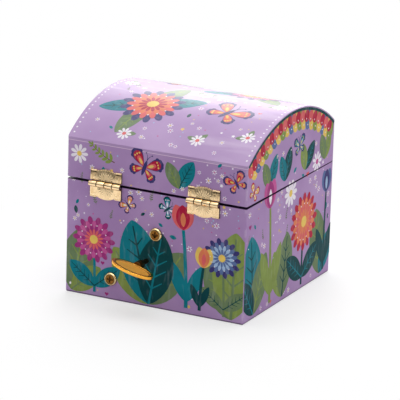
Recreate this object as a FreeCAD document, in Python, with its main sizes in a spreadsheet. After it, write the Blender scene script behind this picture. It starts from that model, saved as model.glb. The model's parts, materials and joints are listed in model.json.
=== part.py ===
"""Jewellery box with a domed lid, a wind-up musical movement and a turning dancer.

Millimetres. +Z is up, the box faces -Y, its hinges and winding key are on the +Y side, and the
origin is the middle of the flat underside.
"""
import FreeCAD, Part
import math
import os

import Sketcher
from FreeCAD import Placement, Rotation, Vector

doc = FreeCAD.newDocument("JewelleryBox")
sheet = doc.addObject("Spreadsheet::Sheet", "Sizes")

# Driving dimensions: alias, value in millimetres or degrees, and what it measures
DRIVING = (
    ("box_width", 120.0, "outside width of the case along X"),
    ("box_depth", 120.0, "outside depth of the case along Y"),
    ("base_height", 71.4, "height of the base walls"),
    ("wall_thick", 5.0, "thickness of the case boards"),
    ("bottom_thick", 4.0, "thickness of the bottom panel"),
    ("edge_round", 1.0, "radius on the covered outer edges"),
    ("seam_back", 1.4, "gap between base and lid at the hinges"),
    ("seam_front", 0.4, "gap between base and lid at the front"),
    ("crease_height", 97.5, "height where the lid walls meet the dome"),
    ("dome_rise", 20.3, "rise of the dome above the crease"),
    ("dome_thick", 1.5, "thickness of the bent dome board"),
    ("board_thick", 3.0, "thickness of the inner boards"),
    ("stage_depth", 31.0, "depth of the stage over the movement"),
    ("stage_height", 57.5, "height of the stage's upper face"),
    ("shelf_depth", 30.0, "depth of the ring shelf"),
    ("shelf_height", 49.0, "height of the ring shelf's upper face"),
    ("roll_height", 8.6, "height of a ring roll"),
    ("roll_gap", 0.5, "gap around a soft piece"),
    ("lining_thick", 2.0, "thickness of the well's lining pad"),
    ("mirror_width", 70.0, "mirror along X"),
    ("mirror_depth", 50.0, "mirror along Y"),
    ("mirror_thick", 1.6, "thickness of the mirror glass"),
    ("frame_width", 3.5, "width of the mirror frame"),
    ("frame_lip", 1.2, "how far the mirror frame laps over the glass"),
    ("frame_thick", 2.4, "thickness of the mirror frame"),
    ("backing_thick", 1.8, "thickness of the mirror board"),
    ("hinge_spacing", 65.4, "distance between the hinge centres"),
    ("hinge_shift", 0.5, "middle of the two hinges past the case's middle along X"),
    ("hinge_drop", 0.5, "hinge pin below the middle of the seam"),
    ("hinge_width", 21.0, "length of a hinge along its pin"),
    ("leaf_height", 8.45, "hinge leaf from the pin to its corners"),
    ("leaf_crest", 0.9, "rise of the leaf's middle past its corners"),
    ("leaf_notch", 0.5, "dip beside the leaf's crest"),
    ("leaf_corner", 4.2, "width of a leaf corner that is bent into a prong"),
    ("leaf_thick", 1.2, "thickness of the hinge sheet"),
    ("prong_depth", 3.2, "how far a prong goes into the board"),
    ("prong_play", 0.05, "clearance around a prong"),
    ("knuckle_dia", 3.5, "outside diameter of the hinge knuckle"),
    ("knuckle_end", 5.2, "length of an outer knuckle"),
    ("knuckle_play", 0.2, "gap between knuckles and to the case"),
    ("hinge_pin_dia", 1.2, "diameter of the hinge pin"),
    ("running_play", 0.05, "radial clearance of a running fit"),
    ("seat_play", 0.02, "radial clearance of a pressed seat"),
    ("key_x", 5.0, "winding axis along X"),
    ("key_offset", 0.55, "winding axis below the middle of the movement's compartment"),
    ("key_hole_play", 0.6, "clearance around the winding arbor in the back wall"),
    ("screw_high_out", 5.9, "upper movement screw to the winding axis along X"),
    ("screw_high_rise", 17.5, "upper movement screw above the winding axis"),
    ("screw_low_out", 23.8, "lower movement screw to the winding axis along X"),
    ("screw_low_drop", 15.5, "lower movement screw below the winding axis"),
    ("screw_dia", 3.0, "movement screw thread"),
    ("screw_head_dia", 5.8, "movement screw head"),
    ("washer_dia", 8.2, "cup washer outside"),
    ("washer_height", 1.5, "cup washer height"),
    ("washer_lip", 1.1, "width of the cup washer's rounded lip"),
    ("washer_seat", 0.375, "inner edge of the cup washer's seat above the case"),
    ("slot_length", 4.0, "length of the screw's cross slot"),
    ("slot_width", 0.9, "width of the screw's cross slot"),
    ("slot_depth", 0.6, "depth of the screw's cross slot"),
    ("bed_width", 50.4, "bedplate along X"),
    ("bed_height", 42.4, "bedplate along Z"),
    ("bed_thick", 2.5, "bedplate thickness"),
    ("bed_left", 13.0, "bedplate edge to the winding axis along X"),
    ("bed_low", 21.2, "bedplate edge to the winding axis along Z"),
    ("barrel_dia", 22.0, "spring barrel outside"),
    ("barrel_depth", 7.0, "spring barrel depth"),
    ("barrel_skin", 0.8, "spring barrel sheet"),
    ("spring_thick", 0.45, "mainspring strip thickness"),
    ("spring_pitch", 1.5, "radial step of a mainspring turn"),
    ("spring_edge", 0.4, "gap between the mainspring and its barrel"),
    ("arbor_dia", 4.8, "winding arbor"),
    ("arbor_end", 1.0, "winding arbor's end below the case's outer face"),
    ("collar_dia", 8.0, "winding arbor's collar"),
    ("collar_thick", 0.8, "thickness of the arbor's collar"),
    ("wheel_play", 0.4, "axial gap beside a moving wheel"),
    ("wheel_thick", 1.6, "great wheel's disc"),
    ("crown_module", 0.5, "tooth module of the crown pair"),
    ("crown_face", 1.6, "width of the crown teeth"),
    ("pinion_face", 2.0, "width of the crown's pinions"),
    ("train_module", 0.4, "tooth module of the governor train"),
    ("train_face", 1.3, "width of the governor train's wheels"),
    ("post_thick", 1.0, "thickness of a bearing post"),
    ("post_reach", 3.0, "bearing post past its lowest or foremost bore"),
    ("drum_dia", 13.0, "pinned drum"),
    ("drum_length", 18.0, "pinned drum along its axis"),
    ("drum_arbor_dia", 2.0, "drum arbor"),
    ("drum_pin_dia", 0.4, "drum pin"),
    ("drum_pin_height", 0.5, "drum pin above the drum"),
    ("comb_play", 0.2, "gap between comb tips and drum pins"),
    ("comb_thick", 1.0, "comb plate"),
    ("comb_tooth", 7.6, "length of the comb's teeth"),
    ("comb_root", 6.0, "width of the comb's root"),
    ("comb_slot", 0.3, "slot between comb teeth"),
    ("comb_screw_dia", 2.0, "comb screw thread"),
    ("comb_head_dia", 3.8, "comb screw head"),
    ("comb_head_thick", 1.2, "comb screw head height"),
    ("comb_screw_length", 6.0, "comb screw below its head"),
    ("governor_arbor_dia", 1.6, "governor wheel's arbor"),
    ("fan_arbor_dia", 1.2, "fan arbor"),
    ("fan_radius", 4.0, "tip radius of the fan"),
    ("fan_length", 14.0, "fan along its axis"),
    ("fan_thick", 0.6, "fan blade"),
    ("fan_hub_dia", 2.6, "fan hub"),
    ("spindle_dia", 3.0, "dancer's spindle"),
    ("bracket_width", 8.0, "spindle bracket along X"),
    ("bracket_thick", 1.5, "spindle bracket sheet"),
    ("bush_dia", 6.0, "bush in the stage"),
    ("bush_flange_dia", 9.0, "bush flange"),
    ("bush_flange_thick", 0.8, "bush flange height"),
    ("disc_dia", 19.0, "dancer's turning disc"),
    ("disc_thick", 1.6, "dancer's turning disc height"),
    ("dancer_height", 40.0, "dancer from toe to fingertips"),
    ("tutu_dia", 23.0, "dancer's skirt"),
    ("tutu_thick", 0.9, "dancer's skirt cloth stack"),
    ("stop_inset", 1.9, "stop wire past the fan's near end along X"),
    ("stop_dia", 1.4, "stop wire"),
    ("stop_bend", 2.0, "bend radius of the stop wire"),
    ("stop_play", 0.3, "clearance around the stop wire"),
    ("stop_tip", 3.4, "stop wire's tip to the fan's axis along Y"),
    ("shank_dia", 3.0, "winding key shank"),
    ("shank_seat", 7.0, "key shank inside the arbor"),
    ("shank_head_dia", 5.6, "slotted head of the key shank"),
    ("shank_head_length", 5.4, "length of the slotted head"),
    ("shank_head_hold", 1.4, "slotted head over the key grip's edge"),
    ("grip_length", 27.8, "key grip across the axis"),
    ("grip_depth", 13.6, "key grip along the axis"),
    ("grip_thick", 1.8, "key grip at its rim"),
    ("grip_rim", 1.7, "width of the key grip's raised rim"),
    ("grip_recess", 0.4, "depth of the key grip's panel"),
    ("grip_standoff", 11.0, "case to the key grip"),
    ("grip_tilt", 14.1, "angle of the resting key grip"),
)

# Counts that are not lengths
CROWN_TEETH = 40
CROWN_PINION_TEETH = 16
DRUM_WHEEL_TEETH = 40
GOVERNOR_PINION_TEETH = 10
GOVERNOR_WHEEL_TEETH = 30
FAN_PINION_TEETH = 10
COMB_TEETH = 18
PINS_PER_TOOTH = 2
PIN_STEP = 137.5
RING_ROLLS = 3
COMB_SCREW_SHARES = (0.25, 0.75)

# Tooth form, in modules and in shares of the pitch
ADDENDUM = 0.75
DEDENDUM = 1.15
TOOTH_SHARE = 0.36
TIP_SHARE = 0.45

# Dancer's build in shares of the dancer's height: place and thickness of each joint
DANCER_JOINTS = {
    "toe": ((0, 0, 0), 0.016),
    "ankle": ((0, 0, 0.08), 0.020),
    "knee": ((0, 0, 0.27), 0.036),
    "hip": ((0, 0, 0.48), 0.050),
    "raised_hip": ((0.02, 0, 0.48), 0.046),
    "raised_knee": ((0.17, -0.05, 0.40), 0.034),
    "raised_toe": ((0.03, -0.02, 0.29), 0.018),
    "shoulder": ((0.052, 0, 0.725), 0.020),
    "elbow": ((0.150, -0.01, 0.855), 0.016),
    "wrist": ((0.065, -0.03, 0.965), 0.012),
    "fingertip": ((0.020, -0.03, 0.985), 0.010),
    "head": ((0, 0, 0.835), 0.062),
    "bun": ((0, 0.035, 0.905), 0.030),
}
DANCER_LEGS = (("toe", "ankle"), ("ankle", "knee"), ("knee", "hip"), ("raised_hip", "raised_knee"),
               ("raised_knee", "raised_toe"))
DANCER_ARM = (("shoulder", "elbow"), ("elbow", "wrist"), ("wrist", "fingertip"))
# Trunk from seat to neck, and the skirt's waist: radius, height
DANCER_TRUNK = ((0.060, 0.46), (0.064, 0.50), (0.044, 0.58), (0.058, 0.68), (0.052, 0.73), (0.022, 0.755),
                (0.020, 0.79))
DANCER_WAIST = (0.062, 0.52)
DANCER_SKIRT_DROP = 0.02

# Closer than this, two places are the same
NEAR = 1e-4

UNIT = {"X": Vector(1, 0, 0), "Y": Vector(0, 1, 0), "Z": Vector(0, 0, 1)}


class Dim:
    """A number and the sheet expression that gives it."""

    def __init__(self, value, text):
        self.value = value
        self.text = text

    def __add__(self, other):
        other = as_dim(other)
        return Dim(self.value + other.value, f"({self.text} + {other.text})")

    def __sub__(self, other):
        other = as_dim(other)
        return Dim(self.value - other.value, f"({self.text} - {other.text})")

    def __mul__(self, other):
        other = as_dim(other)
        return Dim(self.value * other.value, f"({self.text} * {other.text})")

    def __truediv__(self, other):
        other = as_dim(other)
        return Dim(self.value / other.value, f"({self.text} / {other.text})")

    def __rmul__(self, other):
        return as_dim(other) * self

    def __neg__(self):
        return Dim(-self.value, f"(-{self.text})")


def as_dim(value):
    return value if isinstance(value, Dim) else Dim(float(value), str(value))


def root(dim):
    return Dim(math.sqrt(dim.value), f"sqrt({dim.text})")


class Sizes:
    """The driving dimensions by name."""


for row, (alias, value, meaning) in enumerate(DRIVING, start=1):
    sheet.set(f"A{row}", meaning)
    sheet.set(f"B{row}", str(value))
    sheet.setAlias(f"B{row}", alias)
doc.recompute()
for alias, _, _ in DRIVING:
    setattr(Sizes, alias, Dim(sheet.get(alias), f"Sizes.{alias}"))
S = Sizes


def bind(item, path, dim):
    item.setExpression(path, as_dim(dim).text)


def place(item, x, y, z):
    for axis, value in zip("xyz", (x, y, z)):
        bind(item, f"Placement.Base.{axis}", value)


def block(label, x, y, z):
    """Box between the low and high values of three spans."""
    item = doc.addObject("Part::Box", label)
    for path, span in (("Length", x), ("Width", y), ("Height", z)):
        bind(item, path, as_dim(span[1]) - span[0])
    place(item, x[0], y[0], z[0])
    return item


def turn_to(item, axis):
    item.Placement = Placement(Vector(), Rotation(UNIT["Z"], UNIT[axis]))


def rod(label, axis, centre, span, radius):
    """Cylinder along a row axis; centre holds the other two coordinates in X, Y, Z order."""
    item = doc.addObject("Part::Cylinder", label)
    turn_to(item, axis)
    bind(item, "Radius", radius)
    bind(item, "Height", as_dim(span[1]) - span[0])
    corner = list(centre)
    corner.insert("XYZ".index(axis), span[0])
    place(item, *corner)
    return item


def merge(label, *items):
    item = doc.addObject("Part::MultiFuse", label)
    item.Shapes = list(items)
    return item


def cut(label, base, *tools):
    item = doc.addObject("Part::Cut", label)
    item.Base = base
    item.Tool = tools[0] if len(tools) == 1 else merge(f"{label}_cutters", *tools)
    return item


def common(label, base, tool):
    item = doc.addObject("Part::Common", label)
    item.Base = base
    item.Tool = tool
    return item


def group(label, *items):
    item = doc.addObject("Part::Compound", label)
    item.Links = list(items)
    return item


def solid(label, shape):
    item = doc.addObject("Part::Feature", label)
    item.Shape = shape
    return item


def origin_feature(body, role):
    return next(item for item in body.Origin.OriginFeatures if item.Role == role)


def outline(body, name, plane, points):
    """Closed sketch through points (x, y) or (x, y, bulge, radius), the arc leading to the next point.

    The bulge is +1 where the arc swells to the right of its direction of travel, and -1 to the left.
    """
    sketch = body.newObject("Sketcher::SketchObject", name)
    sketch.AttachmentSupport = (origin_feature(body, plane), "")
    sketch.MapMode = "FlatFace"
    corners = [Vector(as_dim(p[0]).value, as_dim(p[1]).value, 0) for p in points]
    count = len(points)
    ends = []
    for index, point in enumerate(points):
        start = corners[index]
        stop = corners[(index + 1) % count]
        if len(point) == 2:
            sketch.addGeometry(Part.LineSegment(start, stop), False)
        else:
            chord = stop - start
            radius = as_dim(point[3]).value
            half = chord.Length / 2
            rise = radius - math.sqrt(radius ** 2 - half ** 2)
            side = Vector(chord.y, -chord.x, 0).normalize() * (rise * point[2])
            sketch.addGeometry(Part.Arc(start, (start + stop) * 0.5 + side, stop), False)
        forward = (sketch.getPoint(index, 1) - start).Length < NEAR
        ends.append((1, 2) if forward else (2, 1))
    for index, point in enumerate(points):
        following = (index + 1) % count
        sketch.addConstraint(
            Sketcher.Constraint("Coincident", index, ends[index][1], following, ends[following][0]))
        for kind, value in zip(("DistanceX", "DistanceY"), point[:2]):
            number = sketch.addConstraint(
                Sketcher.Constraint(kind, -1, 1, index, ends[index][0], as_dim(value).value))
            sketch.renameConstraint(number, f"{kind}{index}")
            sketch.setExpression(f"Constraints.{kind}{index}", as_dim(value).text)
        if len(point) > 2:
            number = sketch.addConstraint(
                Sketcher.Constraint("Radius", index, as_dim(point[3]).value))
            sketch.renameConstraint(number, f"Radius{index}")
            sketch.setExpression(f"Constraints.Radius{index}", as_dim(point[3]).text)
    return sketch


def padded_body(label, plane, points, length):
    body = doc.addObject("PartDesign::Body", label)
    feature = body.newObject("PartDesign::Pad", f"{label}_pad")
    feature.Profile = outline(body, f"{label}_outline", plane, points)
    bind(feature, "Length", length)
    body.Tip = feature
    return body


def turned_body(label, points):
    """Body of revolution about Y from (radius, y) points."""
    body = doc.addObject("PartDesign::Body", label)
    feature = body.newObject("PartDesign::Revolution", f"{label}_turning")
    feature.Profile = outline(body, f"{label}_outline", "XY_Plane", points)
    feature.ReferenceAxis = (origin_feature(body, "Y_Axis"), [""])
    feature.Angle = 360
    body.Tip = feature
    return body


def round_edges(body, radius, wanted):
    """Fillet on the edges of the body's tip that the test accepts."""
    doc.recompute()
    base = body.Tip
    names = [f"Edge{i}" for i, edge in enumerate(base.Shape.Edges, start=1) if wanted(edge)]
    feature = body.newObject("PartDesign::Fillet", f"{body.Name}_round")
    feature.Base = (base, names)
    bind(feature, "Radius", radius)
    body.Tip = feature


def runs_along(edge, axis):
    start, stop = (vertex.Point for vertex in edge.Vertexes[:2])
    return abs((stop - start).normalize().dot(UNIT[axis])) > 1 - NEAR


# Shared places
half_width = S.box_width / 2
half_depth = S.box_depth / 2
inner_x = half_width - S.wall_thick
inner_y = half_depth - S.wall_thick
stage_front = inner_y - S.stage_depth
stage_under = S.stage_height - S.board_thick
key_z = (S.bottom_thick + stage_under) / 2 - S.key_offset
rim_front = S.base_height + S.seam_front
rim_back = S.base_height + S.seam_back
dome_radius = (half_depth * half_depth + S.dome_rise * S.dome_rise) / (2 * S.dome_rise)
dome_inside = dome_radius - S.dome_thick
dome_centre = S.crease_height + S.dome_rise - dome_radius
lid_top = S.crease_height + S.dome_rise
hinge_y = half_depth + S.knuckle_play + S.knuckle_dia / 2
hinge_z = S.base_height + S.seam_back / 2 - S.hinge_drop
hinge_pin_radius = S.hinge_pin_dia / 2
knuckle_radius = S.knuckle_dia / 2
bed_face = inner_y - S.bed_thick
arbor_radius = S.arbor_dia / 2
barrel_face = bed_face - S.barrel_depth
wheel_back = barrel_face - S.wheel_play
wheel_face = wheel_back - S.wheel_thick
crown_radius = S.crown_module * CROWN_TEETH / 2
crown_pinion_radius = S.crown_module * CROWN_PINION_TEETH / 2
play_y = wheel_face - S.crown_module * DEDENDUM - crown_pinion_radius
pinion_low = crown_radius - S.pinion_face / 2
pinion_high = crown_radius + S.pinion_face / 2
inner_post_x = S.key_x + pinion_high + 2 * S.wheel_play
drum_x = inner_post_x + S.post_thick + S.wheel_play
drum_end = drum_x + S.drum_length
drum_wheel_x = drum_end + S.wheel_play
governor_wheel_x = drum_wheel_x + S.train_face + S.wheel_play
fan_x = inner_post_x + S.post_thick + 2 * S.wheel_play
stop_x = fan_x + S.stop_inset
outer_post_x = governor_wheel_x + S.train_face + S.wheel_play
governor_z = key_z + S.train_module * (DRUM_WHEEL_TEETH + GOVERNOR_PINION_TEETH) / 2
fan_z = governor_z + S.train_module * (GOVERNOR_WHEEL_TEETH + FAN_PINION_TEETH) / 2
middle_post_x = drum_end - S.post_thick - 2 * S.wheel_play
drum_radius = S.drum_dia / 2
drum_reach = drum_radius + S.drum_pin_height

nodes = []


def keep(item):
    """Hand in an object as a node of its own."""
    nodes.append(item)
    return item


def make_base():
    """Bottom panel and the four walls of the base, cut from one rounded form."""
    corners = [(-half_width, -half_depth), (half_width, -half_depth),
               (half_width, half_depth), (-half_width, half_depth)]
    form = padded_body("base_form", "XY_Plane", corners, S.base_height)
    top = S.base_height.value
    round_edges(form, S.edge_round, lambda edge: edge.CenterOfMass.z < top - NEAR)
    over = S.wall_thick
    tall = (-over, S.base_height + over)
    wide = (-half_width - over, half_width + over)
    keep(block("base_bottom_panel", (-inner_x, inner_x), (-inner_y, inner_y), (0, S.bottom_thick)))
    keep(common("base_front_wall", form,
                block("front_slab", wide, (-half_depth - over, -inner_y), tall)))
    back = common("back_board", form, block("back_slab", wide, (inner_y, half_depth + over), tall))
    keep(common("base_left_wall", form,
                block("left_slab", (-half_width - over, -inner_x), (-inner_y, inner_y), tall)))
    keep(common("base_right_wall", form,
                block("right_slab", (inner_x, half_width + over), (-inner_y, inner_y), tall)))
    through = (inner_y - over, half_depth + over)
    cutters = [rod("key_hole", "Y", (S.key_x, key_z), through, arbor_radius + S.key_hole_play)]
    for name, x, z in screw_places():
        cutters.append(rod(f"{name}_hole", "Y", (x, z), through, S.screw_dia / 2 + S.running_play))
    cutters += prong_slots("base", hinge_z - S.leaf_height)
    stop_half = S.stop_dia / 2 + S.stop_play
    cutters.append(block("stop_groove", (stop_x - stop_half, stop_x + stop_half),
                         (inner_y - over, stop_y() + stop_half),
                         (stop_finger_z() - stop_half, S.base_height + over)))
    keep(cut("base_back_wall", back, *cutters))


def screw_places():
    return (("screw_high", S.key_x - S.screw_high_out, key_z + S.screw_high_rise),
            ("screw_low", S.key_x + S.screw_low_out, key_z - S.screw_low_drop))


def stop_y():
    return inner_y + S.stop_dia / 2 + S.stop_play


def stop_finger_z():
    return fan_z + S.fan_radius


def hinge_sides():
    return (("left", S.hinge_shift - S.hinge_spacing / 2), ("right", S.hinge_shift + S.hinge_spacing / 2))


def prong_spans(middle):
    """X spans of the two prongs of a hinge leaf."""
    half = S.hinge_width / 2
    return ((middle - half, middle - half + S.leaf_corner), (middle + half - S.leaf_corner, middle + half))


def prong_slots(owner, low):
    """Cutters for the prongs of both hinges, in the board whose leaf ends at this height."""
    play = S.prong_play
    slots = []
    for side, middle in hinge_sides():
        for number, span in enumerate(prong_spans(middle)):
            slots.append(block(f"{owner}_{side}_slot_{number}", (span[0] - play, span[1] + play),
                               (half_depth - S.prong_depth - play, half_depth + S.leaf_thick),
                               (low - play, low + S.leaf_thick + play)))
    return slots


def make_lid():
    """Domed lid: four walls under a bent board, with its mirror."""
    profile = [(-half_depth, rim_front), (half_depth, rim_back),
               (half_depth, S.crease_height, 1, dome_radius), (-half_depth, S.crease_height)]
    form = padded_body("lid_form", "YZ_Plane", profile, S.box_width)
    place(form, -half_width, 0, 0)
    round_edges(form, S.edge_round, lambda edge: runs_along(edge, "Z"))
    over = S.wall_thick
    wide = (-half_width - over, half_width + over)
    tall = (S.base_height - over, lid_top + over)
    core = rod("lid_core", "X", (0, dome_centre), wide, dome_inside)
    keep(cut("lid_dome", form, core))
    shell = common("lid_shell", form, core)
    keep(common("lid_front_wall", shell,
                block("lid_front_slab", wide, (-half_depth - over, -inner_y), tall)))
    back = common("lid_back_board", shell,
                  block("lid_back_slab", wide, (inner_y, half_depth + over), tall))
    keep(cut("lid_back_wall", back, *prong_slots("lid", hinge_z + S.leaf_height - S.leaf_thick)))
    keep(common("lid_left_end", shell,
                block("lid_left_slab", (-half_width - over, -inner_x), (-inner_y, inner_y), tall)))
    keep(common("lid_right_end", shell,
                block("lid_right_slab", (inner_x, half_width + over), (-inner_y, inner_y), tall)))
    make_mirror()


def make_mirror():
    """Flat mirror on a board whose long edges meet the inside of the dome."""
    glass_x = S.mirror_width / 2
    glass_y = S.mirror_depth / 2
    board_x = glass_x + S.frame_width
    board_y = glass_y + S.frame_width
    top = dome_centre + root(dome_inside * dome_inside - board_y * board_y) - S.running_play
    under = top - S.backing_thick
    keep(block("mirror_board", (-board_x, board_x), (-board_y, board_y), (under, top)))
    lip = S.frame_lip
    glass_low = under - S.mirror_thick
    frame = block("frame_blank", (-board_x, board_x), (-board_y, board_y),
                  (under - S.frame_thick, under))
    pocket = block("frame_pocket", (-glass_x, glass_x), (-glass_y, glass_y), (glass_low, top))
    window = block("frame_window", (lip - glass_x, glass_x - lip), (lip - glass_y, glass_y - lip),
                   (under - 2 * S.frame_thick, top))
    keep(cut("mirror_frame", frame, pocket, window))
    keep(block("mirror_glass", (-glass_x, glass_x), (-glass_y, glass_y), (glass_low, under)))


def leaf_outline(sign, middle, own_centre):
    """Leaf in the XZ plane from the knuckle to its scalloped edge; sign is +1 upwards, -1 downwards."""
    half = S.hinge_width / 2
    relief = knuckle_radius + 2 * S.knuckle_play
    split = half - S.knuckle_end - (S.knuckle_play if own_centre else 0)
    at_middle = as_dim(0) if own_centre else relief
    at_ends = relief if own_centre else as_dim(0)
    shoulder = half - S.leaf_corner
    foot = shoulder - S.leaf_notch
    low = S.leaf_height - S.leaf_notch
    sagitta = S.leaf_crest + S.leaf_notch
    crest_radius = (foot * foot + sagitta * sagitta) / (2 * sagitta)
    points = [(-half, at_ends), (-split, at_ends), (-split, at_middle), (split, at_middle),
              (split, at_ends), (half, at_ends), (half, S.leaf_height), (shoulder, S.leaf_height),
              (foot, low, sign, crest_radius), (-foot, low), (-shoulder, S.leaf_height),
              (-half, S.leaf_height)]
    return [(middle + p[0], hinge_z + sign * p[1]) + tuple(p[2:]) for p in points]


def make_hinge(side, middle):
    """Stamped butt hinge: two leaves with rolled knuckles and corner prongs, and a pin."""
    half = S.hinge_width / 2
    bore = rod(f"{side}_bore", "X", (hinge_y, hinge_z), (middle - 2 * half, middle + 2 * half),
               hinge_pin_radius + S.running_play)
    inner = half - S.knuckle_end
    spans = {
        "base": ((middle - half, middle - inner), (middle + inner, middle + half)),
        "lid": ((middle - inner + S.knuckle_play, middle + inner - S.knuckle_play),),
    }
    for owner, sign in (("base", -1), ("lid", 1)):
        name = f"{side}_hinge_{owner}_leaf"
        plate = padded_body(f"{name}_plate", "XZ_Plane", leaf_outline(sign, middle, owner == "lid"),
                            S.leaf_thick)
        place(plate, 0, half_depth + S.leaf_thick, 0)
        pieces = [plate]
        for number, span in enumerate(spans[owner]):
            pieces.append(rod(f"{name}_knuckle_{number}", "X", (hinge_y, hinge_z), span, knuckle_radius))
        edge = hinge_z + sign * S.leaf_height
        rise = (edge, edge + S.leaf_thick) if sign < 0 else (edge - S.leaf_thick, edge)
        for number, span in enumerate(prong_spans(middle)):
            pieces.append(block(f"{name}_prong_{number}", span,
                                (half_depth - S.prong_depth, half_depth + S.leaf_thick / 2), rise))
        keep(cut(name, merge(f"{name}_blank", *pieces), bore))
    keep(rod(f"{side}_hinge_pin", "X", (hinge_y, hinge_z), (middle - half, middle + half),
             hinge_pin_radius))


def make_interior():
    """Boards that close the movement's compartment, the ring shelf with its rolls, and the lining."""
    across = (-inner_x, inner_x)
    keep(block("music_partition", across, (stage_front, stage_front + S.board_thick),
               (S.bottom_thick, stage_under)))
    stage = block("stage_blank", across, (stage_front, inner_y), (stage_under, S.stage_height))
    keep(cut("stage_board", stage,
             rod("stage_hole", "Z", (S.key_x, play_y), (stage_under - S.board_thick,
                                                        S.stage_height + S.board_thick),
                 S.bush_dia / 2 + S.seat_play)))
    shelf_back = S.shelf_depth - inner_y
    shelf_under = S.shelf_height - S.board_thick
    keep(block("ring_shelf", across, (-inner_y, shelf_back), (shelf_under, S.shelf_height)))
    keep(block("ring_shelf_riser", across, (shelf_back - S.board_thick, shelf_back),
               (S.bottom_thick, shelf_under)))
    keep(block("well_lining", (S.roll_gap - inner_x, inner_x - S.roll_gap),
               (shelf_back + S.roll_gap, stage_front - S.roll_gap),
               (S.bottom_thick, S.bottom_thick + S.lining_thick)))
    pitch = S.shelf_depth / RING_ROLLS
    roll_radius = pitch / 2 - S.roll_gap
    axis_z = S.shelf_height + S.roll_height - roll_radius
    reach = inner_x - S.roll_gap - roll_radius
    for number in range(RING_ROLLS):
        name = f"ring_roll_{number + 1}"
        middle = (number + 0.5) * pitch - inner_y
        barrel = rod(f"{name}_barrel", "X", (middle, axis_z), (-reach, reach), roll_radius)
        ends = []
        for tag, x in (("left", -reach), ("right", reach)):
            ball = doc.addObject("Part::Sphere", f"{name}_{tag}")
            bind(ball, "Radius", roll_radius)
            place(ball, x, middle, axis_z)
            ends.append(ball)
        foot = block(f"{name}_seat", (-reach - roll_radius, reach + roll_radius),
                     (middle - roll_radius, middle + roll_radius),
                     (S.shelf_height, S.shelf_height + S.roll_height))
        keep(common(name, merge(f"{name}_swell", barrel, *ends), foot))


def gear_wire(teeth, module):
    """Gear outline in the XY plane with a tooth on +X: radial flanks below the pitch, pointed above."""
    pitch = math.pi / teeth
    radius = module * teeth / 2
    flank = pitch * TOOTH_SHARE
    steps = ((-flank, radius - DEDENDUM * module), (-flank, radius),
             (-flank * TIP_SHARE, radius + ADDENDUM * module),
             (flank * TIP_SHARE, radius + ADDENDUM * module),
             (flank, radius), (flank, radius - DEDENDUM * module))
    points = []
    for tooth in range(teeth):
        for angle, reach in steps:
            turn = 2 * pitch * tooth + angle
            points.append(Vector(reach * math.cos(turn), reach * math.sin(turn), 0))
    return Part.makePolygon(points + points[:1])


def spur_gear(label, axis, centre, span, teeth, module, bore, towards):
    """Spur wheel along a row axis with a tooth, or for an odd half pitch a gap, turned to a direction."""
    face = Part.Face(gear_wire(teeth, module.value))
    hole = Part.Face(Part.Wire(Part.makeCircle(bore.value)))
    length = (as_dim(span[1]) - span[0]).value
    shape = face.cut(hole).extrude(Vector(0, 0, length))
    direction, gap = towards
    seat = Rotation(UNIT["Z"], UNIT[axis])
    tooth = seat.multVec(UNIT["X"])
    spin = math.degrees(math.atan2(UNIT[axis].dot(tooth.cross(direction)), tooth.dot(direction)))
    spin += 180 / teeth if gap else 0
    item = solid(label, shape)
    corner = [as_dim(c).value for c in centre]
    corner.insert("XYZ".index(axis), as_dim(span[0]).value)
    item.Placement = Placement(Vector(*corner), Rotation(UNIT[axis], spin).multiply(seat))
    return keep(item)


def make_winding():
    """Spring barrel with its spring, winding arbor, great wheel and winding key."""
    centre = (S.key_x, key_z)
    run = arbor_radius + S.running_play
    barrel_radius = S.barrel_dia / 2
    cup = rod("barrel_blank", "Y", centre, (barrel_face, bed_face), barrel_radius)
    hollow = rod("barrel_hollow", "Y", centre, (barrel_face + S.barrel_skin, bed_face + S.bed_thick),
                 barrel_radius - S.barrel_skin)
    keep(cut("spring_barrel", cup, hollow,
             rod("barrel_bore", "Y", centre, (barrel_face - S.barrel_skin, bed_face), run)))
    make_mainspring(barrel_radius - S.barrel_skin - S.spring_edge)
    arbor_out = half_depth - S.arbor_end
    shaft = rod("arbor_shaft", "Y", centre, (wheel_face - S.collar_thick, arbor_out), arbor_radius)
    collar = rod("arbor_collar", "Y", centre,
                 (wheel_face - S.running_play - S.collar_thick, wheel_face - S.running_play),
                 S.collar_dia / 2)
    socket = rod("arbor_socket", "Y", centre, (arbor_out - S.shank_seat, half_depth),
                 S.shank_dia / 2 + S.seat_play)
    keep(cut("winding_arbor", merge("arbor_blank", shaft, collar), socket))
    make_great_wheel(run)
    make_key(arbor_out - S.shank_seat + S.running_play)


def make_mainspring(outer):
    """Flat strip wound in half turns from the barrel's wall towards the arbor."""
    low = (barrel_face + S.barrel_skin + S.spring_edge).value
    high = (bed_face - S.spring_edge).value
    thick = S.spring_thick.value
    step = S.spring_pitch.value / 2
    inner = (arbor_radius + S.spring_edge).value + thick
    radius = outer.value - thick
    middle = 0.0
    side = 1
    edges = []
    while radius - step > inner:
        start = Vector(middle + side * radius, 0, 0)
        stop = Vector(middle - side * radius, 0, 0)
        edges.append(Part.Arc(start, Vector(middle, side * radius, 0), stop).toShape())
        middle -= side * step
        radius -= step
        side = -side
    path = Part.Wire(edges)
    first = edges[0].Vertexes[0].Point
    corners = [Vector(first.x - thick / 2, 0, 0), Vector(first.x + thick / 2, 0, 0),
               Vector(first.x + thick / 2, 0, high - low), Vector(first.x - thick / 2, 0, high - low)]
    profile = Part.makePolygon(corners + corners[:1])
    shape = path.makePipeShell([profile], True, False)
    item = keep(solid("mainspring", shape))
    item.Placement = Placement(Vector(S.key_x.value, high, key_z.value), Rotation(UNIT["X"], 90))


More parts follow.
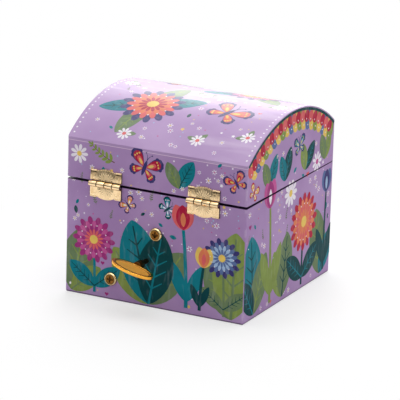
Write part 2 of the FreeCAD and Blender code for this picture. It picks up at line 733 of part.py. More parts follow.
def make_great_wheel(run):
    """Disc whose crown teeth face the pinions of the drum and of the spindle."""
    inner = (crown_radius - S.crown_face / 2).value
    outer = (crown_radius + S.crown_face / 2).value
    module = S.crown_module.value
    pitch = math.pi * module
    half = pitch * TOOTH_SHARE / 2
    disc = Part.makeCylinder(outer, S.wheel_thick.value)
    disc = disc.cut(Part.makeCylinder(run.value, S.wheel_thick.value))
    sunk = -S.wheel_thick.value / 4
    levels = ((-half, sunk), (-half, DEDENDUM * module),
              (-half * TIP_SHARE, (DEDENDUM + ADDENDUM) * module),
              (half * TIP_SHARE, (DEDENDUM + ADDENDUM) * module), (half, DEDENDUM * module), (half, sunk))
    flush = math.sqrt(outer ** 2 - half ** 2)
    points = [Vector(inner, across, -rise) for across, rise in levels]
    tooth = Part.Face(Part.makePolygon(points + points[:1])).extrude(Vector(flush - inner, 0, 0))
    teeth = []
    for number in range(CROWN_TEETH):
        copy = tooth.copy()
        copy.rotate(Vector(), UNIT["Z"], 360 / CROWN_TEETH * number)
        teeth.append(copy)
    item = keep(solid("great_wheel", disc.multiFuse(teeth)))
    item.Placement = Placement(Vector(S.key_x.value, wheel_face.value, key_z.value),
                               Rotation(UNIT["X"], -90))


def make_key(shank_end):
    """Oval grip with a raised rim on a slotted shank, both about the winding axis."""
    near = half_depth + S.grip_standoff
    centre = near + S.grip_depth / 2
    tilt = Rotation(UNIT["Y"], -S.grip_tilt.value)
    head_high = near + S.shank_head_hold
    head_low = head_high - S.shank_head_length
    neck = rod("shank_neck", "Y", (0, 0), (shank_end, head_low), S.shank_dia / 2)
    head = rod("shank_head", "Y", (0, 0), (head_low, head_high), S.shank_head_dia / 2)
    slot_half = S.grip_thick / 2 + S.seat_play
    slot = block("shank_slot", (-S.shank_head_dia, S.shank_head_dia), (near, centre),
                 (-slot_half, slot_half))
    shank = keep(cut("key_shank", merge("shank_blank", neck, head), slot))
    blank = oval("grip_blank", centre, as_dim(0), S.grip_thick / 2, -S.grip_thick / 2)
    deep = S.grip_thick / 2 - S.grip_recess
    panels = [oval("grip_panel_upper", centre, S.grip_rim, S.grip_thick, deep),
              oval("grip_panel_lower", centre, S.grip_rim, -deep, -S.grip_thick)]
    grip = keep(cut("key_grip", blank, *panels))
    for item in (shank, grip):
        item.Placement = Placement(Vector(), tilt)
        place(item, S.key_x, 0, key_z)


def oval(label, centre, inset, high, low):
    """Elliptic slab of the key grip, inset from its edge, between two heights."""
    ring = doc.addObject("Part::Ellipse", f"{label}_edge")
    bind(ring, "MajorRadius", S.grip_length / 2 - inset)
    bind(ring, "MinorRadius", S.grip_depth / 2 - inset)
    place(ring, 0, centre, low)
    item = doc.addObject("Part::Extrusion", label)
    item.Base = ring
    item.DirMode = "Custom"
    item.Dir = UNIT["Z"]
    item.Solid = True
    bind(item, "LengthFwd", as_dim(high) - low)
    return item


def make_movement():
    """Bedplate, drum, comb, governor train and the posts that carry them."""
    left = S.key_x - S.bed_left
    low = key_z - S.bed_low
    bed = block("bed_blank", (left, left + S.bed_width), (bed_face, inner_y), (low, low + S.bed_height))
    beyond = (bed_face - S.bed_thick, inner_y + S.bed_thick)
    holes = [rod("bed_bore", "Y", (S.key_x, key_z), beyond, arbor_radius + S.running_play)]
    for name, x, z in screw_places():
        holes.append(rod(f"bed_{name}", "Y", (x, z), beyond, S.screw_dia / 2 + S.seat_play))
    keep(cut("bedplate", bed, *holes))
    drum_arbor = S.drum_arbor_dia / 2
    governor_arbor = S.governor_arbor_dia / 2
    fan_arbor = S.fan_arbor_dia / 2
    drum_axis = (play_y, key_z)
    governor_axis = (play_y, governor_z)
    fan_axis = (play_y, fan_z)
    drum_bore = ("drum", drum_axis, drum_arbor)
    governor_bore = ("governor", governor_axis, governor_arbor)
    fan_bore = ("fan", fan_axis, fan_arbor)
    make_post("inner_post", inner_post_x, key_z - S.post_reach, (drum_bore, fan_bore))
    make_post("middle_post", middle_post_x, key_z + drum_reach + S.wheel_play,
              (governor_bore, fan_bore))
    make_post("outer_post", outer_post_x, key_z - S.post_reach, (drum_bore, governor_bore, fan_bore))
    past = outer_post_x + S.post_thick + S.wheel_play
    keep(rod("drum_arbor", "X", drum_axis, (S.key_x + pinion_low - S.wheel_play, past), drum_arbor))
    keep(rod("governor_arbor", "X", governor_axis, (middle_post_x - S.wheel_play, past), governor_arbor))
    keep(rod("fan_arbor", "X", fan_axis, (inner_post_x - S.wheel_play, past), fan_arbor))
    up = UNIT["Z"]
    spur_gear("drum_pinion", "X", drum_axis, (S.key_x + pinion_low, S.key_x + pinion_high),
              CROWN_PINION_TEETH, S.crown_module, drum_arbor + S.seat_play, (UNIT["Y"], True))
    spur_gear("drum_wheel", "X", drum_axis, (drum_wheel_x, drum_wheel_x + S.train_face),
              DRUM_WHEEL_TEETH, S.train_module, drum_arbor + S.seat_play, (up, False))
    spur_gear("governor_pinion", "X", governor_axis, (drum_wheel_x, drum_wheel_x + S.train_face),
              GOVERNOR_PINION_TEETH, S.train_module, governor_arbor + S.seat_play, (-up, True))
    second = (governor_wheel_x, governor_wheel_x + S.train_face)
    spur_gear("governor_wheel", "X", governor_axis, second, GOVERNOR_WHEEL_TEETH, S.train_module,
              governor_arbor + S.seat_play, (up, False))
    spur_gear("fan_pinion", "X", fan_axis, second, FAN_PINION_TEETH, S.train_module,
              fan_arbor + S.seat_play, (-up, True))
    make_fan(fan_axis, fan_arbor)
    make_drum(drum_axis, drum_arbor)
    make_comb()


def make_post(label, x, low, bores):
    """Bearing post that stands on the bedplate."""
    spans = (x, x + S.post_thick)
    blank = block(f"{label}_blank", spans, (play_y - S.post_reach, bed_face), (low, fan_z + S.post_reach))
    through = (x - S.post_thick, x + 2 * S.post_thick)
    holes = [rod(f"{label}_{name}", "X", axis, through, radius + S.running_play)
             for name, axis, radius in bores]
    keep(cut(label, blank, *holes))


def make_fan(axis, arbor):
    """Two-bladed air brake on a hub."""
    span = (fan_x, fan_x + S.fan_length)
    hub = rod("fan_hub", "X", axis, span, S.fan_hub_dia / 2)
    blade = block("fan_blade", span, (axis[0] - S.fan_radius, axis[0] + S.fan_radius),
                  (axis[1] - S.fan_thick / 2, axis[1] + S.fan_thick / 2))
    bore = rod("fan_bore", "X", axis, (fan_x - S.wheel_play, fan_x + S.fan_length + S.wheel_play),
               arbor + S.seat_play)
    keep(cut("fan_blades", merge("fan_blank", hub, blade), bore))


def make_drum(axis, arbor):
    """Drum with a few pins in the track of each comb tooth."""
    bore = rod("drum_bore", "X", axis, (drum_x - S.wheel_play, drum_end + S.wheel_play),
               arbor + S.seat_play)
    tube = cut("drum_tube", rod("drum_blank", "X", axis, (drum_x, drum_end), drum_radius), bore)
    pins = []
    pitch = comb_pitch()
    inside = (arbor + drum_radius) / 2
    for number in range(COMB_TEETH * PINS_PER_TOOTH):
        turn = math.radians(PIN_STEP * number)
        aim = Vector(0, math.cos(turn), math.sin(turn))
        pin = doc.addObject("Part::Cylinder", f"drum_pin_{number}")
        pin.Placement = Placement(Vector(), Rotation(UNIT["Z"], aim))
        bind(pin, "Radius", S.drum_pin_dia / 2)
        bind(pin, "Height", drum_reach - inside)
        place(pin, drum_x + (number // PINS_PER_TOOTH + 0.5) * pitch, axis[0] + inside * aim.y,
              axis[1] + inside * aim.z)
        pins.append(pin)
    keep(merge("drum", tube, *pins))


def comb_pitch():
    return S.drum_length / COMB_TEETH


def make_comb():
    """Steel comb on a block, with two screws."""
    tip = key_z - drum_reach - S.comb_play
    base = tip - S.comb_tooth
    foot = base - S.comb_root
    across = (drum_x, drum_end)
    face = play_y - S.comb_thick / 2
    seat = play_y + S.comb_thick / 2
    plate = block("comb_blank", across, (face, seat), (foot, tip))
    slots = []
    for number in range(1, COMB_TEETH):
        middle = drum_x + number * comb_pitch()
        slots.append(block(f"comb_slot_{number}", (middle - S.comb_slot / 2, middle + S.comb_slot / 2),
                           (face - S.comb_thick, seat + S.comb_thick), (base, tip + S.comb_play)))
    screws = []
    block_holes = []
    for number, share in enumerate(COMB_SCREW_SHARES):
        x = drum_x + share * S.drum_length
        z = foot + S.comb_root / 2
        end = seat + S.comb_screw_length
        hole = S.comb_screw_dia / 2 + S.seat_play
        slots.append(rod(f"comb_hole_{number}", "Y", (x, z), (face - S.comb_thick, seat + S.comb_thick),
                         hole))
        block_holes.append(rod(f"comb_tap_{number}", "Y", (x, z), (face, end + S.wheel_play), hole))
        head = rod(f"comb_head_{number}", "Y", (x, z), (face - S.comb_head_thick, face),
                   S.comb_head_dia / 2)
        stem = rod(f"comb_stem_{number}", "Y", (x, z), (face - S.comb_head_thick / 2, end),
                   S.comb_screw_dia / 2)
        screws.append(merge(f"comb_screw_{number}", head, stem))
    keep(cut("comb", plate, *slots))
    keep(cut("comb_block", block("comb_block_blank", across, (seat, bed_face), (foot, base)),
             *block_holes))
    keep(group("comb_screws", *screws))


def make_fasteners():
    """Cross-slot screws in cup washers, through the back wall into the bedplate."""
    hole = S.screw_dia / 2 + S.running_play
    outer = S.washer_dia / 2
    top = S.washer_height
    seat_top = outer - S.washer_lip
    seat_low = S.washer_seat
    washers = []
    screws = []
    for name, x, z in screw_places():
        washer = turned_body(f"{name}_washer", [
            (hole, 0), (outer, 0), (outer, top / 2), (outer - S.washer_lip / 2, top),
            (seat_top, top), (hole, seat_low)])
        place(washer, x, half_depth, z)
        washers.append(washer)
        head = S.screw_head_dia / 2
        play = S.running_play
        slope = (top - seat_low) / (seat_top - hole)
        shank = S.screw_dia / 2
        head_top = seat_low + (head - hole + play) * slope + play
        body = turned_body(f"{name}_blank", [
            (0, bed_face - half_depth), (shank, bed_face - half_depth), (shank, seat_low + play),
            (head, head_top), (0, head_top)])
        slots = []
        for tag, long, short in (("flat", S.slot_length / 2, S.slot_width / 2),
                                 ("tall", S.slot_width / 2, S.slot_length / 2)):
            slots.append(block(f"{name}_{tag}", (-long, long), (head_top - S.slot_depth, head_top + top),
                               (-short, short)))
        screw = cut(f"{name}_screw", body, *slots)
        place(screw, x, half_depth, z)
        screws.append(screw)
    keep(group("cup_washers", *washers))
    keep(group("movement_screws", *screws))


def make_dancer_drive():
    """Vertical spindle from the great wheel up through the stage, with its bracket, bush and disc."""
    axis = (S.key_x, play_y)
    radius = S.spindle_dia / 2
    low = key_z + pinion_low
    high = key_z + pinion_high
    spur_gear("spindle_pinion", "Z", axis, (low, high), CROWN_PINION_TEETH, S.crown_module,
              radius + S.seat_play, (UNIT["Y"], True))
    disc_low = S.stage_height + S.bush_flange_thick + S.wheel_play
    disc_top = disc_low + S.disc_thick
    keep(rod("dancer_spindle", "Z", axis, (low - S.wheel_play, disc_top), radius))
    run = radius + S.running_play
    bracket_low = high + 2 * S.wheel_play
    bracket = block("bracket_blank", (S.key_x - S.bracket_width / 2, S.key_x + S.bracket_width / 2),
                    (play_y - S.post_reach, bed_face), (bracket_low, bracket_low + S.bracket_thick))
    keep(cut("spindle_bracket", bracket,
             rod("bracket_bore", "Z", axis, (high, bracket_low + 2 * S.bracket_thick), run)))
    sleeve = rod("bush_sleeve", "Z", axis, (stage_under, S.stage_height), S.bush_dia / 2)
    flange = rod("bush_flange", "Z", axis, (S.stage_height, S.stage_height + S.bush_flange_thick),
                 S.bush_flange_dia / 2)
    keep(cut("stage_bush", merge("bush_blank", sleeve, flange),
             rod("bush_bore", "Z", axis, (stage_under - S.board_thick, disc_top), run)))
    disc = rod("disc_blank", "Z", axis, (disc_low, disc_top), S.disc_dia / 2)
    keep(cut("dancer_disc", disc,
             rod("disc_bore", "Z", axis, (disc_low - S.disc_thick, disc_top + S.disc_thick),
                 radius + S.seat_play)))
    make_dancer(disc_top)


def taper(start, stop, start_radius, stop_radius):
    """Round limb between two points."""
    axis = stop - start
    cone = Part.makeCone(start_radius, stop_radius, axis.Length, start, axis)
    return cone.fuse(Part.makeSphere(stop_radius, stop))


def dancer_joint(name, side=1):
    """Place and radius of a joint, mirrored in X for the other side."""
    tall = S.dancer_height.value
    (x, y, z), thick = DANCER_JOINTS[name]
    return Vector(side * x * tall, y * tall, z * tall), thick * tall


def dancer_limbs(pairs, side=1):
    limbs = []
    for upper, lower in pairs:
        start, start_radius = dancer_joint(upper, side)
        stop, stop_radius = dancer_joint(lower, side)
        limbs.append(taper(start, stop, start_radius, stop_radius))
    return limbs


def make_dancer(disc_top):
    """Moulded dancer on one toe with arms overhead, and a flat skirt about the hips."""
    tall = S.dancer_height.value
    edge = [Vector(0, 0, DANCER_TRUNK[0][1] * tall)]
    edge += [Vector(radius * tall, 0, height * tall) for radius, height in DANCER_TRUNK]
    edge.append(Vector(0, 0, DANCER_TRUNK[-1][1] * tall))
    figure = Part.Face(Part.makePolygon(edge + edge[:1])).revolve(Vector(), UNIT["Z"], 360)
    members = dancer_limbs(DANCER_LEGS)
    for side in (-1, 1):
        shoulder, radius = dancer_joint("shoulder", side)
        members.append(Part.makeSphere(radius, shoulder))
        members += dancer_limbs(DANCER_ARM, side)
    for name in ("head", "bun"):
        centre, radius = dancer_joint(name)
        members.append(Part.makeSphere(radius, centre))
    for member in members:
        figure = figure.fuse(member)
    waist = DANCER_WAIST[0] * tall + S.running_play.value
    hip = DANCER_WAIST[1] * tall
    hem = hip - DANCER_SKIRT_DROP * tall
    reach = S.tutu_dia.value / 2
    thick = S.tutu_thick.value
    corners = [Vector(waist, 0, hip), Vector(reach, 0, hem), Vector(reach, 0, hem + thick),
               Vector(waist, 0, hip + thick)]
    tutu = Part.Face(Part.makePolygon(corners + corners[:1])).revolve(Vector(), UNIT["Z"], 360)
    figure = figure.cut(tutu)
    stand = Placement(Vector(S.key_x.value, play_y.value, disc_top.value), Rotation())
    for label, shape in (("dancer_figure", figure), ("dancer_tutu", tutu)):
        item = keep(solid(label, shape))
        item.Placement = stand


def make_stop_wire():
    """Bent wire in a groove of the back wall, from the lid's rim down to beside the fan."""
    radius = S.stop_dia / 2
    bend = S.stop_bend
    slope = (S.seam_back - S.seam_front) / S.box_depth
    top = rim_back - slope * (half_depth - stop_y() + radius) - S.stop_play
    finger = stop_finger_z()
    tip = play_y + S.stop_tip
    corner = Vector(stop_x.value, stop_y().value, finger.value)
    start = Vector(corner.x, corner.y, top.value)
    upper = corner + Vector(0, 0, bend.value)
    inward = corner - Vector(0, bend.value, 0)
    stop = Vector(corner.x, tip.value, corner.z)
    diagonal = math.sqrt(0.5) * bend.value
    heart = corner + Vector(0, -bend.value, bend.value)
    edges = [Part.LineSegment(start, upper).toShape(),
             Part.Arc(upper, heart + Vector(0, diagonal, -diagonal), inward).toShape(),
             Part.LineSegment(inward, stop).toShape()]
    profile = Part.Wire(Part.makeCircle(radius.value, start, UNIT["Z"]))
    keep(solid("stop_wire", Part.Wire(edges).makePipeShell([profile], True, False)))


def write_parts():
    doc.recompute()
    faults = [item.Label for item in doc.Objects if {"Invalid", "Error"} & set(item.State)]
    for item in nodes:
        shape = item.Shape
        if shape.isNull() or not shape.isValid() or not shape.Solids:
            faults.append(item.Label)
    if faults:
        raise RuntimeError("failed objects: " + ", ".join(faults))
    os.makedirs("parts", exist_ok=True)
    for item in nodes:
        item.Shape.exportStep(f"parts/{item.Label}.step")
        print(item.Label, len(item.Shape.Solids), round(item.Shape.Volume, 3))
    print(len(nodes), "nodes")


make_base()
make_lid()
for hinge_side, hinge_middle in hinge_sides():
    make_hinge(hinge_side, hinge_middle)
make_interior()
make_winding()
make_movement()
make_fasteners()
make_dancer_drive()
make_stop_wire()
write_parts()
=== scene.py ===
"""Looks of a musical jewellery box: printed paper case, brass hardware, lined inside and a turning dancer.

Metres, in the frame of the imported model. Printed motifs are drawn flat in millimetres and then laid on
their panels.
"""
import json
import math
import random

import bmesh
import bpy
from bpy.props import FloatProperty, FloatVectorProperty, IntProperty, PointerProperty
from mathutils import Color, Matrix, Vector


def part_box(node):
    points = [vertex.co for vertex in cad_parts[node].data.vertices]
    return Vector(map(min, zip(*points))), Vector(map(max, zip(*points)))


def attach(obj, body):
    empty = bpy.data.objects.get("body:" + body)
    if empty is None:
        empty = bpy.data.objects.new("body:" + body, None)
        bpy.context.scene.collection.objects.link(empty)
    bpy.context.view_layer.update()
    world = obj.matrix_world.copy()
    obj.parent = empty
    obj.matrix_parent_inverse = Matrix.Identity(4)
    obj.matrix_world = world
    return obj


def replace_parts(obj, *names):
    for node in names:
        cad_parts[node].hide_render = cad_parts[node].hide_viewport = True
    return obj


bl_info = {
    "name": "Musical jewellery box",
    "version": (1, 0, 0),
    "blender": (4, 5, 0),
    "location": "View3D > Sidebar > Jewellery box",
    "description": "Dresses the packed jewellery box in its papers, metals and cloth",
    "category": "Object",
}

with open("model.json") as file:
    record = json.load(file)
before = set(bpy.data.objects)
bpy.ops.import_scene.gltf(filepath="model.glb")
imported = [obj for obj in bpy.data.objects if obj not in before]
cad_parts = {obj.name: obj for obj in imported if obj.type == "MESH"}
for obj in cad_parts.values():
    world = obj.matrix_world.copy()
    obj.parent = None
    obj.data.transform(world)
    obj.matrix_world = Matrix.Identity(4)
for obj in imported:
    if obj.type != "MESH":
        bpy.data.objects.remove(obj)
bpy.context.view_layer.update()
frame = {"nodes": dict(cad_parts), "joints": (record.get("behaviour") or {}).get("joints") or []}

MM = 0.001

# Case as it was packed: half sizes outside and inside, and the heights of its rims
CASE_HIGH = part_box("base_back_wall")[1]
HALF_WIDTH = CASE_HIGH.x
HALF_DEPTH = CASE_HIGH.y
BASE_TOP = CASE_HIGH.z
LID_RIM_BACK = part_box("lid_back_wall")[0].z
LID_RIM_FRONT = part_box("lid_front_wall")[0].z
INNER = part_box("base_bottom_panel")[1].x

# Hinges: their pin, their leaves and the barrel of knuckles
LID_HINGE = next(joint for joint in frame["joints"] if joint["name"] == "lid_hinge")
HINGE_AXIS = Vector(LID_HINGE["pos_m"])
LID_LEAVES = [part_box(f"{side}_hinge_lid_leaf") for side in ("left", "right")]
LEAF_HALF = (LID_LEAVES[0][1].x - LID_LEAVES[0][0].x) / 2
KNUCKLE_GAP = 0.0002
KNUCKLE_WIDTH = 0.0053
BARREL = HINGE_AXIS.y - HALF_DEPTH - KNUCKLE_GAP

# Places of the movement's two screws, across and up
SCREWS = ((-0.0009, 0.0462), (0.0288, 0.0132))

# Print: name of its colour layer, and the number of heights that one level is shared into
INK = "ink"
SHEETS = 17

# Texture that isn't stretched, and the span that a noise mostly stays in
PLAIN = (1.0, 1.0, 1.0)
MIDDLE = (0.3, 0.7)

# Small distances and angles that forms are told apart by
MERGE = 1e-6
NEAR = 0.0001
FLAT = math.radians(0.5)
SHARP = math.radians(35)

# Sharpest angles that are shaded round, in degrees
SMOOTH = 40
ROUND = 180

# Gaps at the edges of the print, in the millimetres of its drawings
CREASE_GAP = 0.3
DOME_GAP = 1.0

# Bead row of the key
MILLING_INSET = 0.0022
MILLING_RISE = 0.0005
MILLING_BEAD = (0.0005, 0.00022, 0.00026)
MILLING_SLANT = math.radians(35)

# Stuffing of the soft pieces, and gaps under pieces
ENLARGED = 10.0
SWELL_FRAMES = 20
SWELL_PRESSURE = 4.0
SEAT_GAP = 0.00005
FLOOR_GAP = 0.0001

# Dancer: top of the figure in shares of its full height, and the step of its skin's mesh
FIGURE_TOP = 0.995
SKIN_STEP = 0.00026

# Lamps: place, width and height of each, and the place that both are aimed at
OVERHEAD = ((-0.05, -0.1, 1.1), 1.2, 1.2)
SOFTBOX = ((0.30, -1.0, 0.52), 1.0, 0.5)
LAMP_AIM = (0, 0, 0.06)

# Gloss of the papers and inks
WALL_GLOSS = 0.04
WALL_INK_GLOSS = 0.03
DOME_GLOSS = 0.5

# Where one finish gives way to the next: pairs of where it starts and where it is full, then single places
EDGE_WEAR = (0.0016, 0.0004)
LINING_TURN = (0.0004, 0.0005)
DOME_TURN = (0.0002, 0.0003)
# Purple over the rims: paper that also paints the shade inside the seam
RIM_PAPER_SHADE = (0.00012, 0.00008)
# Dark purple line of painted contact shade along the foot of the walls
FOOT_SHADE = (0.0013, 0.0006)
# Hinges: darkened metal and painted shade beside and behind the barrel, at the knuckles' ends, on the sheared
# sides and under the bars; polish on the barrel
BESIDE_BARREL = (0.00075, 0.00035)
BEHIND_BARREL = (-0.0004, -0.0006)
KNUCKLE_ENDS = (0.00042, 0.00018)
BARREL_SKIN = (0.00012, 0.00004)
BARREL_POLISH = (0.0003, 0.0001)
SHEARED_SIDE_SHADE = (0.00012, 0.00002)
UNDER_BAR = (0.0005, 0.00025)
# Key: width of the dark line of darkened metal and painted shade inside the rim, then where the rim is
# polished
GROOVE_WIDTH = (0.07, 0.03)
RIM_POLISH = (0.98, 1.02)
# Screws: darkened metal and painted shade deep in the slots, at the foot of the cups and round the washers'
# outer edge
SLOT_DEPTH = (0.00006, 0.0002)
CUP_FOOT = (0.0034, 0.0030)
CUP_EDGE = (0.00398, 0.00408)
FLOOR_FADE = (0.19, 0.42)
ROOM_TURN = (-0.2, 0.2)
ROOM_HEIGHT = (0.16, 0.40)
BAR_START = 0.0001
# Place of the key's dark line of darkened metal and painted shade, as a share of the panel's reach
KEY_GROOVE = 0.95

# Colours of a leaf's blade and veins
TEAL = ("teal", "deep_green")
DEEP = ("deep_green", "teal")
SAGE = ("sage", "moss")
DARK_SAGE = ("sage", "deep_green")
MOSS = ("moss", "sage")


def tint(name, description, red, green, blue):
    """Colour property from a colour as it is seen, 0 to 255 for each channel."""
    return FloatVectorProperty(name=name, description=description, subtype="COLOR_GAMMA", size=3, min=0.0,
                               max=1.0, default=(red / 255, green / 255, blue / 255))


def length(name, description, millimetres):
    return FloatProperty(name=name, description=description, default=millimetres * MM, min=0.0,
                         unit="LENGTH", precision=5)


def count(name, description, number):
    return IntProperty(name=name, description=description, default=number, min=1)


def angle(name, description, degrees):
    return FloatProperty(name=name, description=description, default=math.radians(degrees), subtype="ANGLE")


def amount(name, description, number, unit="NONE"):
    return FloatProperty(name=name, description=description, default=number, min=0.0, unit=unit)


class BoxPaper(bpy.types.PropertyGroup):
    """Colours of the papers and inks."""
    lilac: tint("Lilac", "Ground colour of the printed paper", 181, 150, 196)
    deep_lilac: tint("Deep lilac", "Darker clouds in the ground", 164, 131, 181)
    pale_lilac: tint("Pale lilac", "Cut edges and worn corners", 224, 206, 230)
    lining: tint("Lining", "Paper inside the box", 226, 200, 222)
    white: tint("White", "Small flowers and dots", 246, 240, 248)
    teal: tint("Teal", "Stems and cool leaves", 22, 128, 142)
    deep_green: tint("Deep green", "Dark leaves", 18, 72, 76)
    sage: tint("Sage", "Broad soft leaves", 112, 134, 96)
    moss: tint("Moss", "Bright leaves", 138, 158, 82)
    navy: tint("Navy", "Wing edges and spots", 66, 62, 118)
    slate: tint("Slate blue", "Cool petals", 96, 118, 166)
    sky: tint("Sky blue", "Light petals", 168, 196, 226)
    crimson: tint("Crimson", "Deep red petals", 186, 36, 68)
    coral: tint("Coral", "Warm petals", 226, 104, 106)
    orange: tint("Orange", "Large blossoms", 230, 132, 92)
    yellow: tint("Yellow", "Centres and spots", 238, 204, 104)
    pink: tint("Pink", "Rosy petals", 202, 92, 156)
    magenta: tint("Magenta", "Deep rosy petals", 166, 58, 128)
    brown: tint("Brown", "Twigs", 116, 82, 62)
    # Paper over the rims that also paints the shade in the seam, and the painted contact shade along the foot
    plum_and_shade: tint("Plum", "Paper over the rims of base and lid", 62, 38, 74)


class BoxPrint(bpy.types.PropertyGroup):
    """Sizes of the print."""
    crease: length("Crease", "Height where the lid's walls meet the dome", 97.5)
    dome_rise: length("Dome rise", "Height of the dome above its crease", 20.3)
    dome_board: length("Dome board", "Thickness of the bent board", 1.5)
    ink_step: length("Ink step", "Height of one layer of ink", 0.009)
    margin: length("Margin", "Bare paper along the rounded edges", 0.45)
    bend_step: length("Bend step", "Widest strip of a motif on the dome", 2.0)
    edge_soften: length("Softened edge", "Width of the rounding on the dome's edges", 0.35)


class BoxHardware(bpy.types.PropertyGroup):
    """Sizes and colours of the metal pieces."""
    flutes: count("Flutes", "Ribs in a hinge leaf's shell", 9)
    flute_reach: length("Flute reach", "Length of the shell's longest rib", 5.6)
    flute_height: length("Flute height", "Rise of the shell's ribs", 0.16)
    leaf_height: length("Leaf height", "Hinge pin to the leaf's corners", 8.45)
    leaf_thick: length("Leaf thickness", "Thickness of a hinge leaf at its knuckles", 1.2)
    leaf_lean: length("Leaf lean", "How far the lid leaf leans back at its edge", 0.55)
    leaf_corner: length("Leaf corner", "Width of a bent corner", 4.2)
    bar_radius: length("Bar radius", "Roundness of a bent corner", 0.6)
    metal_soften: length("Softened metal", "Rounding of stamped edges", 0.16)
    knuckle_soften: length("Softened knuckle", "Rounding of the knuckles' ends", 0.45)
    grip_rim: length("Key rim", "Width of the rim round the key's panel", 1.7)
    milling: count("Milling", "Beads around the key's panel", 72)
    grip_tilt: angle("Key tilt", "Angle of the resting key", 14.1)
    hinge_gold: tint("Hinge gold", "Pale plating of the hinges", 252, 222, 174)
    key_gold: tint("Key gold", "Golden brass of the key", 255, 184, 74)
    washer_gold: tint("Washer gold", "Pale brass of the cup washers", 240, 214, 158)
    # Screw heads: brass darker than the washers, partly as painted shade inside the cups
    screw_gold: tint("Screw gold", "Brass of the screw heads", 136, 94, 42)
    # Shank: dark bronze that stands in as painted shade behind the key's grip
    shank_bronze: tint("Shank bronze", "Darkened shank of the key", 104, 70, 32)
    # Darkened metal, also used as painted shade in hollows: hinges, the key's rim line, screw slots and cups
    patina_and_shade: tint("Patina", "Darkened metal in grooves", 74, 48, 22)
    brass: tint("Movement brass", "Wheels and drum", 206, 168, 96)
    steel: tint("Steel", "Arbors, screws and comb", 176, 178, 184)
    casting: tint("Casting", "Bedplate and comb block", 150, 150, 154)


class BoxInside(bpy.types.PropertyGroup):
    """Sizes and colours of the soft pieces and the dancer."""
    velvet: tint("Velvet", "Ring rolls and pad", 142, 92, 168)
    frame_white: tint("Frame", "Mirror frame and turning disc", 246, 226, 238)
    frame_soften: length("Softened frame", "Rounding of the mirror frame and the turning disc", 0.5)
    skin: tint("Skin", "Dancer's painted skin", 240, 206, 186)
    bodice: tint("Bodice", "Dancer's bodice and shoes", 222, 110, 160)
    net: tint("Net", "Dancer's skirt", 246, 186, 214)
    hair: tint("Hair", "Dancer's hair", 96, 62, 46)
    ruffles: count("Ruffles", "Waves around the skirt", 22)
    ruffle_height: length("Ruffle height", "Rise of the skirt's waves at the hem", 0.45)
    net_layers: count("Net layers", "Layers of net in the skirt", 3)


class BoxStage(bpy.types.PropertyGroup):
    """Camera, lamps and floor."""
    azimuth: angle("Azimuth", "Camera's bearing", 206.6706)
    elevation: angle("Elevation", "Camera's height angle", 17.0617)
    roll: angle("Roll", "Camera's roll", 1.7215)
    distance: length("Distance", "Camera to the point it looks at", 1887.0)
    target: FloatVectorProperty(name="Target", description="Point that the camera looks at", size=3,
                                subtype="TRANSLATION", unit="LENGTH", default=(0.00077, 0.0, 0.05175))
    lens: amount("Lens", "Focal length on a 36 mm sensor", 278.83, "CAMERA")
    floor_colour: tint("Floor", "Pale studio floor", 250, 249, 250)
    floor_reach: length("Floor reach", "Radius of the round floor, which fades to white", 450.0)
    floor_lift: FloatProperty(name="Floor lift", description="Share of white in the floor near the box",
                              default=0.56, min=0.0, max=1.0, subtype="FACTOR")
    fill: amount("Fill", "Strength of the light from all round", 0.45)
    horizon: amount("Horizon", "Brightness of the low horizon that metal reflects", 0.10)
    overhead: amount("Overhead", "Power of the lamp above", 9.0, "POWER")
    far_glow: amount("Far glow", "Power of the softbox behind the box", 7.0, "POWER")


GROUPS = (("box_paper", BoxPaper), ("box_print", BoxPrint), ("box_hardware", BoxHardware),
          ("box_inside", BoxInside), ("box_stage", BoxStage))


def seen(colour):
    """Scene colour of a colour property, with full alpha."""
    return (*Color(colour).from_srgb_to_scene_linear(), 1.0)


def paper_colour(name):
    return seen(getattr(bpy.context.scene.box_paper, name))


def dimmed(colour, *shares):
    return (*(channel * share for channel, share in zip(colour, shares)), 1.0)


def dome_radius():
    rise = bpy.context.scene.box_print.dome_rise
    return (HALF_DEPTH ** 2 + rise ** 2) / (2 * rise)


def dome_centre():
    sizes = bpy.context.scene.box_print
    return sizes.crease + sizes.dome_rise - dome_radius()


